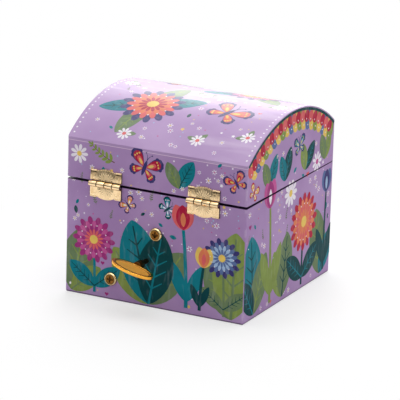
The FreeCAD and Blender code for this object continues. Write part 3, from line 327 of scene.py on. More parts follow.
class Wiring:
    """Nodes of a material or of the world, and the links between them."""

    def __init__(self, tree):
        self.tree = tree
        self.nodes = tree.nodes

    def give(self, source, socket):
        """Link an output, or set a number or colour, on a socket."""
        if isinstance(source, bpy.types.NodeSocket):
            self.tree.links.new(source, socket)
        else:
            socket.default_value = source

    def node(self, kind, output, inputs, **settings):
        """An output of a new node; outputs and inputs go by name or number."""
        made = self.nodes.new(f"ShaderNode{kind}")
        for setting, value in settings.items():
            setattr(made, setting, value)
        for socket, source in inputs.items():
            self.give(source, made.inputs[socket])
        return made.outputs[output]

    def places(self, stretch=PLAIN):
        """Object coordinates, stretched."""
        found = self.node("TexCoord", "Object", {})
        if stretch == PLAIN:
            return found
        return self.node("Mapping", "Vector", {"Vector": found, "Scale": stretch})

    def axis(self, letter, source=None):
        return self.node("SeparateXYZ", letter, {"Vector": source or self.places()})

    def away(self, centre, stretch=PLAIN):
        """Distance of the stretched places from a point."""
        return self.node("VectorMath", "Value", {0: self.places(stretch), 1: centre}, operation="DISTANCE")

    def noise(self, scale, detail, stretch=PLAIN):
        inputs = {"Scale": scale, "Detail": detail, "Vector": self.places(stretch)}
        return self.node("TexNoise", "Fac", inputs)

    def cells(self, scale, feature="F1", randomness=1.0):
        inputs = {"Scale": scale, "Randomness": randomness, "Vector": self.places()}
        return self.node("TexVoronoi", "Distance", inputs, feature=feature)

    def calc(self, operation, first, second=0.0):
        """Result of one arithmetic step."""
        return self.node("Math", "Value", {0: first, 1: second}, operation=operation)

    def off(self, value, middle):
        """How far a value is from a middle, on either side."""
        return self.calc("ABSOLUTE", self.calc("SUBTRACT", value, middle))

    def hypot(self, first, second):
        squares = [self.calc("MULTIPLY", leg, leg) for leg in (first, second)]
        return self.calc("SQRT", self.calc("ADD", *squares))

    def span(self, value, low, high, to_low=0.0, to_high=1.0):
        """Value taken from one range to another and held at its ends."""
        return self.node("MapRange", "Result", {"Value": value, "From Min": low, "From Max": high,
                                                "To Min": to_low, "To Max": to_high})

    def mix(self, share, first, second):
        return self.node("Mix", 0, {0: share, 2: first, 3: second})

    def blend(self, share, first, second, mode="MIX"):
        """Mix of two colours."""
        return self.node("Mix", 2, {0: share, 6: first, 7: second}, data_type="RGBA", blend_type=mode)

    def uneven(self, scale, detail, spread, low, high, stretch=PLAIN):
        """Number that drifts between two values where a noise is in its spread."""
        return self.span(self.noise(scale, detail, stretch), *spread, low, high)

    def clouded(self, scale, detail, spread, first, second, most=1.0, stretch=PLAIN):
        """Colour with clouds of another one, which have at most a share of it."""
        return self.blend(self.uneven(scale, detail, spread, 0.0, most, stretch), first, second)


class Finish(Wiring):
    """A material in the making, with its main shader."""

    def __init__(self, name, **sockets):
        self.material = bpy.data.materials.new(name)
        self.material.use_nodes = True
        super().__init__(self.material.node_tree)
        self.shader = self.nodes["Principled BSDF"]
        self.set(**sockets)

    def set(self, **sources):
        """Give the shader's sockets their sources, each under the socket's name in small letters."""
        for socket, source in sources.items():
            name = socket.replace("_", " ").title().replace("Ior", "IOR")
            self.give(source, self.shader.inputs[name])

    def emboss(self, height, strength, distance):
        self.set(normal=self.node("Bump", "Normal", {"Strength": strength, "Distance": distance,
                                                     "Height": height}))


def paper_grain(finish):
    """Fine tooth of varnished paper, shared by ground and ink."""
    finish.emboss(finish.noise(2600.0, 4.0), 0.10, 0.00008)
    finish.set(roughness=finish.uneven(45.0, 1.5, (0.2, 0.8), 0.36, 0.45))


def lilac_ground(finish):
    """Lilac with darker clouds."""
    return finish.clouded(22.0, 5.0, (0.38, 0.68), paper_colour("lilac"), paper_colour("deep_lilac"))


def case_paper(name):
    """Lilac print ground outside, pale lining inside, worn pale along the corners; dark purple paper over the
    rims that also paints the shade in the seam, and a dark purple line of painted contact shade along the
    foot.
    """
    finish = Finish(name, specular_ior_level=WALL_GLOSS)
    flecks = finish.calc("MULTIPLY", finish.span(finish.cells(330.0), 0.10, 0.06, 0.0, 0.5),
                         finish.uneven(60.0, 2.0, (0.56, 0.66), 0.0, 1.0))
    ground = finish.blend(flecks, lilac_ground(finish), paper_colour("white"))
    across = finish.calc("ABSOLUTE", finish.axis("X"))
    along = finish.calc("ABSOLUTE", finish.axis("Y"))
    corner = finish.span(finish.calc("MINIMUM", across, along), *(HALF_WIDTH - inset for inset in EDGE_WEAR))
    patchy = finish.uneven(240.0, 4.0, (0.45, 0.62), 0.0, 0.3)
    ground = finish.blend(finish.calc("MULTIPLY", corner, patchy), ground, paper_colour("pale_lilac"))
    outside = finish.span(finish.calc("MAXIMUM", across, along), *(INNER + step for step in LINING_TURN))
    walls = finish.blend(outside, paper_colour("lining"), ground)
    height = finish.axis("Z")
    lid_rim = finish.span(finish.axis("Y"), -HALF_DEPTH, HALF_DEPTH, LID_RIM_FRONT, LID_RIM_BACK)
    # Purple over the rims: paper that also paints the shade in the seam
    under_lid = finish.span(finish.calc("SUBTRACT", height, lid_rim), *RIM_PAPER_SHADE)
    over_base = finish.span(height, *(BASE_TOP - depth for depth in RIM_PAPER_SHADE))
    walls = finish.blend(finish.calc("MULTIPLY", under_lid, over_base), walls, paper_colour("plum_and_shade"))
    # Painted contact shade: a dark purple line along the foot
    foot = finish.span(height, *FOOT_SHADE, 0.0, 0.85)
    finish.set(base_color=finish.blend(foot, walls, paper_colour("plum_and_shade")))
    paper_grain(finish)
    return finish.material


def dome_paper(name):
    """Ground of the dome: lilac above, with pale brushwork, and lining below."""
    finish = Finish(name, specular_ior_level=DOME_GLOSS)
    ground = finish.clouded(30.0, 6.0, (0.56, 0.74), lilac_ground(finish), paper_colour("pale_lilac"), 0.55,
                            (0.35, 2.2, 1.0))
    reach = finish.hypot(finish.calc("SUBTRACT", finish.axis("Z"), dome_centre()), finish.axis("Y"))
    inside = dome_radius() - bpy.context.scene.box_print.dome_board
    outside = finish.span(reach, *(inside + step for step in DOME_TURN))
    finish.set(base_color=finish.blend(outside, paper_colour("lining"), ground))
    paper_grain(finish)
    return finish.material


def print_ink(name, gloss):
    """Opaque ink that reads its colour from the cutouts, brushed a little uneven."""
    finish = Finish(name, specular_ior_level=gloss)
    colour = finish.node("Attribute", "Color", {}, attribute_name=INK)
    brushed = finish.uneven(160.0, 5.0, MIDDLE, 0.0, 0.3)
    shade = finish.blend(brushed, colour, (0.55, 0.5, 0.6, 1.0), "MULTIPLY")
    finish.set(base_color=finish.clouded(420.0, 3.0, (0.52, 0.72), shade, paper_colour("white"), 0.07,
                                         (1.0, 1.0, 0.22)))
    paper_grain(finish)
    return finish.material


def bottom_paper(name):
    """Plain paper under the box."""
    finish = Finish(name)
    ground = finish.clouded(40.0, 5.0, MIDDLE, paper_colour("deep_lilac"), paper_colour("lilac"))
    finish.set(base_color=ground, roughness=finish.uneven(300.0, 3.0, MIDDLE, 0.55, 0.7))
    finish.emboss(finish.noise(1800.0, 4.0), 0.25, 0.0001)
    return finish.material


def lining_paper(name):
    """Pale lining with a small printed spot."""
    finish = Finish(name)
    ground = finish.clouded(35.0, 4.0, MIDDLE, paper_colour("lining"), paper_colour("pale_lilac"))
    spots = finish.span(finish.cells(150.0, randomness=0.0), 0.20, 0.17)
    finish.set(base_color=finish.blend(spots, ground, paper_colour("white")),
               roughness=finish.uneven(200.0, 3.0, MIDDLE, 0.5, 0.62))
    finish.emboss(finish.noise(2200.0, 4.0), 0.2, 0.0001)
    return finish.material


def velvet_pile(name):
    """Short pile, crushed in patches and pale where it is seen edge on."""
    finish = Finish(name, roughness=0.9, sheen_weight=0.7, sheen_roughness=0.4, specular_ior_level=0.15,
                    sheen_tint=paper_colour("pale_lilac"))
    base = seen(bpy.context.scene.box_inside.velvet)
    crush = finish.uneven(130.0, 5.0, (0.32, 0.68), 0.0, 1.0)
    pile = finish.noise(5200.0, 2.0)
    upright = finish.calc("MULTIPLY", crush, pile)
    finish.set(base_color=finish.blend(upright, dimmed(base, 0.5, 0.45, 0.55), base))
    finish.emboss(pile, 0.6, 0.0002)
    return finish.material


def metal(name, colour, roughness, scratch, grain=PLAIN, tarnish=0.55, crevices=None, bare=1.0,
          polished=None):
    """Plated or turned metal with fine marks along one direction.

    Darkened metal, which also paints the shade in hollows, lies where its mask says, and a brighter polish
    where polished says.
    """
    base = seen(colour)
    finish = Finish(name, metallic=bare)
    marks = finish.noise(scratch, 5.0, grain)
    shade = finish.clouded(260.0, 4.0, (0.5, 0.78), base, dimmed(base, 0.72, 0.66, 0.58), tarnish)
    # Painted shade with darkened metal: the dark colour laid where the mask says
    if crevices:
        shade = finish.blend(crevices(finish), shade, seen(bpy.context.scene.box_hardware.patina_and_shade))
    rough = finish.span(marks, *MIDDLE, roughness * 0.75, roughness * 1.3)
    if polished:
        share = polished(finish)
        rough = finish.calc("MULTIPLY", rough, finish.span(share, 0.0, 1.0, 1.0, 0.45))
        if bare < 1.0:
            finish.set(metallic=finish.span(share, 0.0, 1.0, bare, 1.0))
    finish.set(base_color=shade, roughness=rough)
    finish.emboss(marks, 0.08, 0.00005)
    return finish.material


def on_hinge(finish):
    """Place on a hinge: height, depth and distance from its pin, and length from its middle."""
    lift = finish.calc("SUBTRACT", finish.axis("Z"), HINGE_AXIS.z)
    out = finish.calc("SUBTRACT", finish.axis("Y"), HINGE_AXIS.y)
    middles = [(low.x + high.x) / 2 for low, high in LID_LEAVES]
    across = finish.off(finish.axis("X"), sum(middles) / 2)
    along = finish.off(across, abs(middles[1] - middles[0]) / 2)
    return lift, out, finish.hypot(lift, out), along


def at_corner(finish, along):
    """Share of a hinge leaf that is one of its corners."""
    start = LEAF_HALF - bpy.context.scene.box_hardware.leaf_corner
    return finish.span(along, start - BAR_START, start)


def bar_foot():
    sizes = bpy.context.scene.box_hardware
    return sizes.leaf_height - 2 * sizes.bar_radius


def between_knuckles(finish):
    """Share of darkened metal and painted shade on the hinges: round the barrel, on the sheared sides and
    under the lid leaf's bars, where shadow falls.
    """
    lift, out, reach, along = on_hinge(finish)
    # Darkened metal and painted shade: beside and behind the barrel, between the knuckles, on the sheared
    # sides and under the lid leaf's bars
    beside = finish.calc("MULTIPLY", finish.span(reach, *(BARREL + step for step in BESIDE_BARREL)),
                         finish.span(out, *BEHIND_BARREL))
    gap = finish.off(finish.off(along, KNUCKLE_WIDTH / 2), KNUCKLE_WIDTH / 2)
    gaps = finish.calc("MULTIPLY", finish.span(gap, *KNUCKLE_ENDS),
                       finish.span(reach, *(BARREL + step for step in BARREL_SKIN)))
    sheared = finish.span(along, *(LEAF_HALF - inset for inset in SHEARED_SIDE_SHADE), 0.0, 0.9)
    under = finish.span(finish.off(lift, bar_foot()), *UNDER_BAR, 0.0, 0.9)
    lines = finish.calc("MULTIPLY", under, at_corner(finish, along))
    edges = finish.calc("MAXIMUM", sheared, lines)
    return finish.calc("MAXIMUM", finish.calc("MAXIMUM", beside, gaps), edges)


def barrel_and_bars(finish):
    """Share of polish on the hinges: the barrel, and the bars at the corners."""
    lift, _, reach, along = on_hinge(finish)
    barrel = finish.span(reach, *(BARREL + step for step in BARREL_POLISH))
    edge = finish.span(finish.calc("ABSOLUTE", lift), bar_foot(), bar_foot() + BAR_START)
    return finish.calc("MAXIMUM", barrel, finish.calc("MULTIPLY", edge, at_corner(finish, along)))


def from_panel(finish):
    """Distance from the middle of the key's panel, 1 at its edge."""
    low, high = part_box("key_grip")
    rim = bpy.context.scene.box_hardware.grip_rim
    legs = []
    for axis, start, stop in (("X", low.x, high.x), ("Y", low.y, high.y)):
        offset = finish.calc("SUBTRACT", finish.axis(axis), (start + stop) / 2)
        legs.append(finish.calc("DIVIDE", offset, (stop - start) / 2 - rim))
    return finish.hypot(*legs)


def round_panel(finish):
    """Share of darkened metal and painted shade on the key: a groove just inside its rim."""
    return finish.span(finish.off(from_panel(finish), KEY_GROOVE), *GROOVE_WIDTH, 0.0, 0.9)


def key_rim(finish):
    """Share of polish on the key: its rim."""
    return finish.span(from_panel(finish), *RIM_POLISH)


def in_slots(finish):
    """Share of darkened metal and painted shade on the screws: in their cross slots."""
    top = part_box("movement_screws")[1].y
    return finish.span(finish.axis("Y"), *(top - depth for depth in SLOT_DEPTH))


def round_screws(finish):
    """Share of darkened metal and painted shade on the cup washers: at the foot of the cup and round their
    outer edge.
    """
    away = finish.calc("MINIMUM", *(finish.away((x, 0.0, z), (1.0, 0.0, 1.0)) for x, z in SCREWS))
    return finish.calc("MAXIMUM", finish.span(away, *CUP_FOOT), finish.span(away, *CUP_EDGE, 0.0, 0.85))


def silvered_glass(name):
    """Mirror with a faint haze."""
    finish = Finish(name, metallic=1.0)
    haze = (60.0, 3.0, (0.4, 0.7))
    finish.set(base_color=finish.clouded(*haze, (0.86, 0.88, 0.89, 1.0), (0.78, 0.80, 0.82, 1.0), 0.25),
               roughness=finish.uneven(*haze, 0.015, 0.03))
    return finish.material


def enamel(name, colour, roughness, variation):
    """Moulded plastic or paint with a slight mottle."""
    base = seen(colour)
    finish = Finish(name, coat_weight=0.2, coat_roughness=0.15)
    mottle = dimmed(base, *[1.0 - variation] * 3)
    finish.set(base_color=finish.clouded(420.0, 3.0, (0.35, 0.65), base, mottle),
               roughness=finish.uneven(700.0, 3.0, MIDDLE, roughness * 0.85, roughness * 1.2))
    finish.emboss(finish.noise(900.0, 2.0), 0.05, 0.0001)
    return finish.material


def skirt_net(name):
    """Fine open net: threads between rows of holes."""
    finish = Finish(name, roughness=0.6, sheen_weight=0.4)
    holes = finish.cells(2600.0, "DISTANCE_TO_EDGE", 0.35)
    finish.set(alpha=finish.span(holes, 0.10, 0.2, 1.0, 0.62),
               base_color=finish.blend(finish.span(holes, 0.1, 0.4), (1.0, 0.92, 0.96, 1.0),
                                       seen(bpy.context.scene.box_inside.net)))
    return finish.material


def floor_paint(name):
    """Pale floor that keeps the shadow near the box and fades to white around it."""
    stage = bpy.context.scene.box_stage
    base = seen(stage.floor_colour)
    finish = Finish(name, roughness=0.75, specular_ior_level=0.2)
    finish.set(base_color=finish.clouded(3.0, 2.0, MIDDLE, base, dimmed(base, 0.99, 0.99, 0.995)))
    start, full = (stage.floor_reach * share for share in FLOOR_FADE)
    fade = finish.span(finish.away((0.0, 0.0, 0.0)), start, full, stage.floor_lift, 1.0)
    camera = finish.node("LightPath", "Is Camera Ray", {})
    mixed = finish.node("MixShader", "Shader", {"Fac": finish.calc("MULTIPLY", fade, camera),
                                                1: finish.shader.outputs["BSDF"],
                                                2: finish.node("Emission", "Emission", {})})
    finish.give(mixed, finish.nodes["Material Output"].inputs["Surface"])
    return finish.material


def finish_of(name, maker, *values, **settings):
    """A material by name, made once."""
    return bpy.data.materials.get(name) or maker(name, *values, **settings)


def steel():
    return finish_of("steel", metal, bpy.context.scene.box_hardware.steel, 0.24, 800.0)


def dress(material, *nodes):
    """Give CAD nodes a finish."""
    for node in nodes:
        slots = frame["nodes"][node].data.materials
        slots.clear()
        slots.append(material)


def mesh_from(bm, name):
    mesh = bpy.data.meshes.new(name)
    bm.to_mesh(mesh)
    bm.free()
    return mesh


def show(name, data):
    """New object in the scene for a mesh, a lamp or a camera."""
    made = bpy.data.objects.new(name, data)
    bpy.context.scene.collection.objects.link(made)
    return made


def piece_from(bm, name, material, body, smooth=None):
    """Turn a bmesh into a piece that rides on a body; smooth is the sharpest angle that is shaded round."""
    mesh = mesh_from(bm, name)
    mesh.materials.append(material)
    if smooth is not None:
        mesh.shade_smooth()
        mesh.set_sharp_from_angle(angle=math.radians(smooth))
    piece = show(name, mesh)
    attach(piece, body)
    return piece


def copy_of(node):
    """Clean copy of a CAD node's mesh: welded, with flat faces whole."""
    bm = bmesh.new()
    bm.from_mesh(frame["nodes"][node].data)
    bmesh.ops.remove_doubles(bm, verts=bm.verts, dist=MERGE)
    bmesh.ops.dissolve_limit(bm, angle_limit=FLAT, verts=bm.verts, edges=bm.edges)
    return bm


def soften(bm, width, wanted=None, segments=2):
    """Round the sharp edges that the test accepts."""
    edges = [edge for edge in bm.edges
             if len(edge.link_faces) == 2 and edge.calc_face_angle() > SHARP
             and (wanted is None or wanted(edge))]
    bmesh.ops.bevel(bm, geom=edges, offset=width, offset_type="OFFSET", segments=segments, profile=0.5,
                    affect="EDGES", clamp_overlap=True, material=-1)


def rounded(node, name, material, body, width, segments=2):
    """Put a copy with softened edges in a CAD node's place."""
    bm = copy_of(node)
    soften(bm, width, None, segments)
    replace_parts(piece_from(bm, name, material, body, SMOOTH), node)


def cut(bm, point, normal, drop=False):
    """Cut everything along a plane, and drop what lies beyond it if asked."""
    bmesh.ops.bisect_plane(bm, geom=bm.verts[:] + bm.edges[:] + bm.faces[:], dist=MERGE, plane_co=point,
                           plane_no=normal, clear_outer=drop)


def turned(points, centre, steps):
    """Shell spun from a line of points about an upright axis."""
    bm = bmesh.new()
    line = [bm.verts.new(point) for point in points]
    edges = [bm.edges.new(pair) for pair in zip(line, line[1:])]
    bmesh.ops.spin(bm, geom=line + edges, cent=centre, axis=(0, 0, 1), angle=2 * math.pi, steps=steps,
                   use_merge=True)
    bmesh.ops.remove_doubles(bm, verts=bm.verts, dist=MERGE)
    bmesh.ops.recalc_face_normals(bm, faces=bm.faces)
    return bm


def close_holes(bm):
    bmesh.ops.holes_fill(bm, edges=[edge for edge in bm.edges if edge.is_boundary])


# Outlines of cutouts: each takes an angle and gives a place on a shape of about unit size


def disc(angle):
    return math.cos(angle), math.sin(angle)


def leaf(width):
    """Leaf with a point at both ends, from the origin to one along u."""
    def outline(angle):
        swell = math.sin(angle) * abs(math.sin(angle)) ** 0.5
        return (1 + math.cos(angle)) / 2, width * swell
    return outline


def petal(width, lean=0.6):
    """Drop from the origin to one along u, widest past its middle."""
    def outline(angle):
        along = (1 + math.cos(angle)) / 2
        return along, width * math.sin(angle) * along ** lean
    return outline


def bloom(lobes, depth):
    """Round with scalloped lobes."""
    def outline(angle):
        reach = 1 - depth + depth * abs(math.cos(lobes * angle / 2))
        return reach * math.cos(angle), reach * math.sin(angle)
    return outline


def star(points, depth):
    def outline(angle):
        reach = 1 - depth * (0.5 - 0.5 * math.cos(points * angle))
        return reach * math.cos(angle), reach * math.sin(angle)
    return outline


def heart(angle):
    turn = angle - math.pi / 2
    x = math.sin(turn) ** 3
    y = (13 * math.cos(turn) - 5 * math.cos(2 * turn) - 2 * math.cos(3 * turn) - math.cos(4 * turn)) / 16
    return x, y


def toward(at, reach, angle):
    """Place at a distance from another one, in a direction in radians."""
    return Vector((at[0] + reach * math.cos(angle), at[1] + reach * math.sin(angle)))


def on_curve(start, bend, stop, t):
    return start * (1 - t) ** 2 + bend * (2 * t * (1 - t)) + stop * t ** 2


class Drawing:
    """Cutouts of one printed panel, drawn flat in millimetres: u to the right and v up."""

    def __init__(self, seed):
        self.bm = bmesh.new()
        self.ink = self.bm.loops.layers.float_color.new(INK)
        self.taken = []
        self.made = 0
        self.chance = random.Random(seed)

    def height(self, level):
        """Height of the next cutout, a little apart from its neighbours of the same level."""
        self.made += 1
        return level + self.made % SHEETS / SHEETS

    def fill(self, verts, colour):
        shade = paper_colour(colour)
        for face in {face for vert in verts for face in vert.link_faces}:
            face.normal_update()
            if face.normal.z < 0:
                face.normal_flip()
            for loop in face.loops:
                loop[self.ink] = shade

    def cutout(self, colour, outline, at, size, turn=0.0, level=0, steps=24):
        verts = bmesh.ops.create_circle(self.bm, cap_ends=True, segments=steps, radius=1.0)["verts"]
        spin = Matrix.Rotation(math.radians(turn), 2)
        height = self.height(level)
        for vert in verts:
            x, y = outline(math.atan2(vert.co.y, vert.co.x))
            spot = spin @ Vector((x * size, y * size))
            vert.co = (at[0] + spot.x, at[1] + spot.y, height)
        self.fill(verts, colour)

    def dot(self, colour, at, size, level, steps):
        self.cutout(colour, disc, at, size, 0.0, level, steps)

    def stroke(self, colour, start, bend, stop, width, level=0, steps=10, tip=0.5):
        """Strip along a bent line that narrows to its tip."""
        start, bend, stop = Vector(start), Vector(bend), Vector(stop)
        verts = bmesh.ops.create_grid(self.bm, x_segments=steps, y_segments=1, size=0.5)["verts"]
        height = self.height(level)
        for vert in verts:
            t = vert.co.x + 0.5
            side = vert.co.y * 2
            spot = on_curve(start, bend, stop, t)
            way = ((bend - start) * (1 - t) + (stop - bend) * t).normalized()
            spot += Vector((-way.y, way.x)) * (side * width / 2 * (1 - t + t * tip))
            vert.co = (spot.x, spot.y, height)
        self.fill(verts, colour)

    def reserve(self, at, reach):
        self.taken.append((at, reach))

    def free(self, at, reach):
        return all(math.dist(at, other) > reach + other_reach for other, other_reach in self.taken)

    def scatter(self, tries, low, high, reach, draw):
        """Draw small motifs where nothing else lies."""
        for number in range(tries):
            at = (self.chance.uniform(low[0], high[0]), self.chance.uniform(low[1], high[1]))
            size = reach * self.chance.uniform(0.7, 1.15)
            if self.free(at, size):
                self.reserve(at, size)
                draw(self, at, size, number)


def daisy(art, at, size, centre, petals, level=0, turn=0.0):
    for number in range(petals):
        art.cutout("white", petal(0.26, 0.8), at, size, turn + 360 / petals * number, level, 12)
    art.dot(centre, at, size * 0.27, level + 1, 12)


def lone_daisy(art, at, size, centre, petals):
    daisy(art, at, size, centre, petals)
    art.reserve(at, size)


def dahlia(art, at, size, colours, level, petals=14, centre="yellow"):
    """Round blossom in rings of petals, each ring with its own colour."""
    art.reserve(at, size * 0.95)
    rings = len(colours)
    for ring, colour in enumerate(colours):
        reach = size * (1 - 0.74 * ring / rings)
        shift = 180 / petals * (ring % 2)
        for number in range(petals):
            art.cutout(colour, petal(0.19, 0.9), at, reach, shift + 360 / petals * number, level + ring, 22)
    art.cutout(centre, bloom(petals, 0.12), at, size * 0.2, 0.0, level + rings, 28)
    for number in range(petals):
        spot = toward(at, 0.62 * size, 2 * math.pi * number / petals)
        art.dot("white", spot, size * 0.028, level + rings, 8)


def broad_leaf(art, at, size, turn, colours, level=0, width=0.3):
    """Single leaf with a midrib and side veins."""
    blade, vein = colours
    way = math.radians(turn)
    art.cutout(blade, leaf(width), at, size, turn, level, 32)
    spine = [toward(at, size * t, way) for t in (0.0, 0.5, 0.93)]
    art.stroke(vein, *spine, size * 0.035, level + 1, 4)
    for number in range(1, 5):
        t = 0.16 * number + 0.06
        root = toward(at, size * t, way)
        reach = size * width * 0.8 * math.sin(math.pi * (t + 0.1))
        for side in (-1, 1):
            tip = toward(root, reach, way + side * math.radians(48))
            art.stroke(vein, root, (root + tip) / 2, tip, size * 0.022, level + 1, 3)
    art.reserve(spine[1], size * 0.36)


def sprig(art, at, size, turn, colour, pairs=6, plump=0.26):
    """Curved twig with paired leaves."""
    way = math.radians(turn)
    start = Vector(at)
    stop = toward(start, size, way)
    bend = toward((start + stop) / 2, size * 0.12, way + math.pi / 2)
    art.stroke("brown", start, bend, stop, size * 0.035, 0, 12)
    for number in range(pairs):
        t = (number + 0.7) / pairs
        reach = size * 0.26 * (1.05 - 0.5 * t)
        for side in (-1, 1):
            art.cutout(colour, leaf(plump), on_curve(start, bend, stop, t), reach, turn + side * 48, 1, 12)
    art.cutout(colour, leaf(plump), stop, size * 0.16, turn, 1, 12)
    for t in (0.2, 0.5, 0.8):
        art.reserve(start.lerp(stop, t), size * 0.2)


def tulip(art, foot, tall, head, colours, leaf_colour, lean, level):
    """Tulip on a bent stem with two long leaves."""
    deep, main, light = colours
    foot = Vector(foot)
    top = foot + Vector((lean, tall))
    bend = foot + Vector((lean * 0.1, tall * 0.55))
    art.stroke(leaf_colour, foot, bend, top, head * 0.16, level, 12, 0.8)
    for side in (-1, 1):
        art.cutout(leaf_colour, leaf(0.16), foot + Vector((0, tall * 0.08)), tall * 0.55, 90 + side * 24,
                   level + 1, 20)
    turn = 90 - lean * 1.2
    for side in (-1, 1):
        art.cutout(main, leaf(0.3), top, head, turn + side * 17, level + 2, 24)
    art.cutout(deep, leaf(0.3), top, head * 0.96, turn, level + 3, 24)
    art.cutout(light, leaf(0.2), top + Vector((0, head * 0.12)), head * 0.55, turn, level + 4, 16)
    art.reserve(top + Vector((0, head / 2)), head * 0.55)
    art.reserve(bend, head * 0.3)


def butterfly(art, at, size, turn, edge, colours, level=0):
    """Butterfly with scalloped wing edges and spots."""
    main, inner, spot = colours
    for side in (-1, 1):
        for aim, share, width in ((52, 1.0, 0.36), (122, 0.74, 0.34)):
            wing = turn - side * aim
            way = math.radians(wing)
            reach = size * share
            art.cutout(edge, petal(width * 1.12, 0.75), at, reach * 1.06, wing, level, 28)
            for number in range(-2, 3):
                bump = toward(at, reach * (0.98 - 0.035 * number ** 2), way + number * width * 0.42)
                art.dot(edge, bump, size * 0.1, level, 12)
            art.cutout(main, petal(width, 0.75), at, reach * 0.92, wing, level + 1, 28)
            art.cutout(inner, petal(width * 0.7, 0.75), at, reach * 0.66, wing, level + 2, 20)
            for number in (-1, 0, 1):
                mark = toward(at, reach * 0.76, way + number * width * 0.5)
                art.dot(spot, mark, size * 0.045, level + 2, 10)
            art.cutout(spot, leaf(0.2), toward(at, reach * 0.2, way), reach * 0.34, wing, level + 3, 12)
    way = math.radians(turn)
    art.cutout(edge, leaf(0.12), toward(at, size * -0.42, way), size * 0.84, turn, level + 4, 20)
    root, bend, brow = (toward(at, size * share, way) for share in (0.34, 0.6, 0.36))
    for side in (-1, 1):
        tip = toward(brow, size * 0.42, math.radians(turn + side * 24))
        art.stroke(edge, root, bend, tip, size * 0.035, level + 4, 6)
        art.dot(edge, tip, size * 0.035, level + 4, 8)
    art.reserve(at, size * 0.95)


def small_flower(art, at, size, number):
    daisy(art, at, size, "yellow" if number % 3 else "pink", 6, 0, number * 17.0)


def twig(art, at, size, number):
    sprig(art, (at[0], at[1] - size * 0.7), size * 1.5, 90 + 12 * (number % 3 - 1), "sage", 5, 0.2)


def small(colours, outline, steps, grow=1.0, turn=0.0):
    """Small motif of one cutout, which changes its colour and its turn from one to the next."""
    def draw(art, at, size, number):
        art.cutout(colours[number % len(colours)], outline, at, size * grow, number * turn, 0, steps)
    return draw


# Small motifs of the ground: how many tries, how large, and what is drawn
FILLERS = (
    (16, 4.2, twig),
    (44, 2.6, small(("teal", "deep_green", "teal"), leaf(0.27), 16, 1.8, 67.0)),
    (130, 1.8, small_flower),
    (20, 1.7, small(("coral", "magenta"), heart, 20)),
    (26, 1.4, small(("yellow", "white"), star(5, 0.5), 20, turn=31.0)),
    (150, 0.5, small(("white", "pink", "yellow", "white", "sky"), disc, 8)),
)


def sprinkle(art, low, high, busy=1.0):
    """Fill the ground between the large motifs."""
    for tries, reach, motif in FILLERS:
        art.scatter(int(tries * busy), low, high, reach, motif)


def blossom(art, foot, at, size, colours, leaf_colours, level, petals=14):
    """Dahlia on a stem with two broad leaves."""
    foot, at = Vector(foot), Vector(at)
    art.stroke(leaf_colours[0], foot, (foot.x, at.y * 0.6), at, size * 0.13, level, 10, 0.8)
    for turn in (142, 38):
        broad_leaf(art, foot.lerp(at, 0.12), size * 1.5, turn, leaf_colours, level + 1, 0.25)
    dahlia(art, at, size, colours, level + 3, petals)


def leaf_fan(art, foot, *leaves):
    """Broad leaves that spread from one place; each is a size, a turn and its colours."""
    for number, (size, turn, colours) in enumerate(leaves):
        broad_leaf(art, foot, size, turn, colours, 2 * number, 0.26)


def draw_back():
    """Back panel: two blossoms, fans of leaves and tulips, with butterflies on the lid."""
    art = Drawing(3)
    leaf_fan(art, (-56, 2), (42, 78, SAGE), (26, 40, MOSS))
    blossom(art, (-40, 3), (-41, 36), 14.5, ("magenta", "pink", "magenta", "coral"), TEAL, 5)
    leaf_fan(art, (-3, 2), (40, 128, MOSS), (42, 58, SAGE), (52, 104, TEAL), (46, 80, DEEP))
    tulip(art, (22, 4), 48, 16, ("crimson", "coral", "orange"), "teal", -3, 4)
    tulip(art, (31, 4), 27, 13, ("orange", "yellow", "coral"), "deep_green", 2, 9)
    leaf_fan(art, (52, 2), (40, 112, SAGE), (54, 88, MOSS))
    blossom(art, (47, 3), (45, 39), 12.5, ("navy", "slate", "sky", "slate"), DARK_SAGE, 5)
    butterfly(art, (-8, 86), 12.5, 70, "navy", ("crimson", "coral", "yellow"))
    butterfly(art, (53, 86), 8.5, 120, "navy", ("coral", "crimson", "yellow"))
    butterfly(art, (8, 63), 7.5, 40, "deep_green", ("teal", "sky", "white"))
    butterfly(art, (-18, 61), 6.5, 130, "navy", ("orange", "yellow", "white"))
    lone_daisy(art, (-52, 88), 6, "yellow", 9)
    leaf_fan(art, (15, 77), (20, 62, TEAL), (17, 118, SAGE))
    sprig(art, (-28, 86), 18, 150, "moss", plump=0.24)
    sprinkle(art, (-57, 3), (57, 95))
    return art


def arch_edging(art):
    """Narrow band along the arch of an end panel, with two rows of round scales below it."""
    rows = ((("yellow", "slate", "yellow", "moss"), 1.5, 0, 0.5), (("coral", "crimson"), 0.95, 2, 0.0))
    size = 8.6
    inset = 1.6
    limit = 37.2
    pieces = 12
    reach = dome_radius() / MM - inset
    step = math.degrees(size * 0.74 / reach)

    def place(turn, distance):
        return toward((0, dome_centre() / MM), distance, math.pi / 2 - turn)

    for colours, long, level, shift in rows:
        for number in range(int(2 * limit / step) + 1):
            turn = math.radians(-limit + (number + shift) * step)
            art.cutout(colours[number % len(colours)], petal(0.43 / long ** 0.5, 0.12), place(turn, reach),
                       size * long, -90 - math.degrees(turn), level, 24)
            spot = place(turn, reach - size * long * 0.76)
            art.dot("white", spot, size * 0.06, level + 1, 8)
            art.reserve(spot, size * 0.5)
    half = math.radians(limit) / pieces
    for number in range(pieces):
        turn = half * (2 * number + 1 - pieces)
        art.stroke("deep_green", place(turn - half, reach), place(turn, reach / math.cos(half)),
                   place(turn + half, reach), size * 0.2, 4, 6, 1.0)


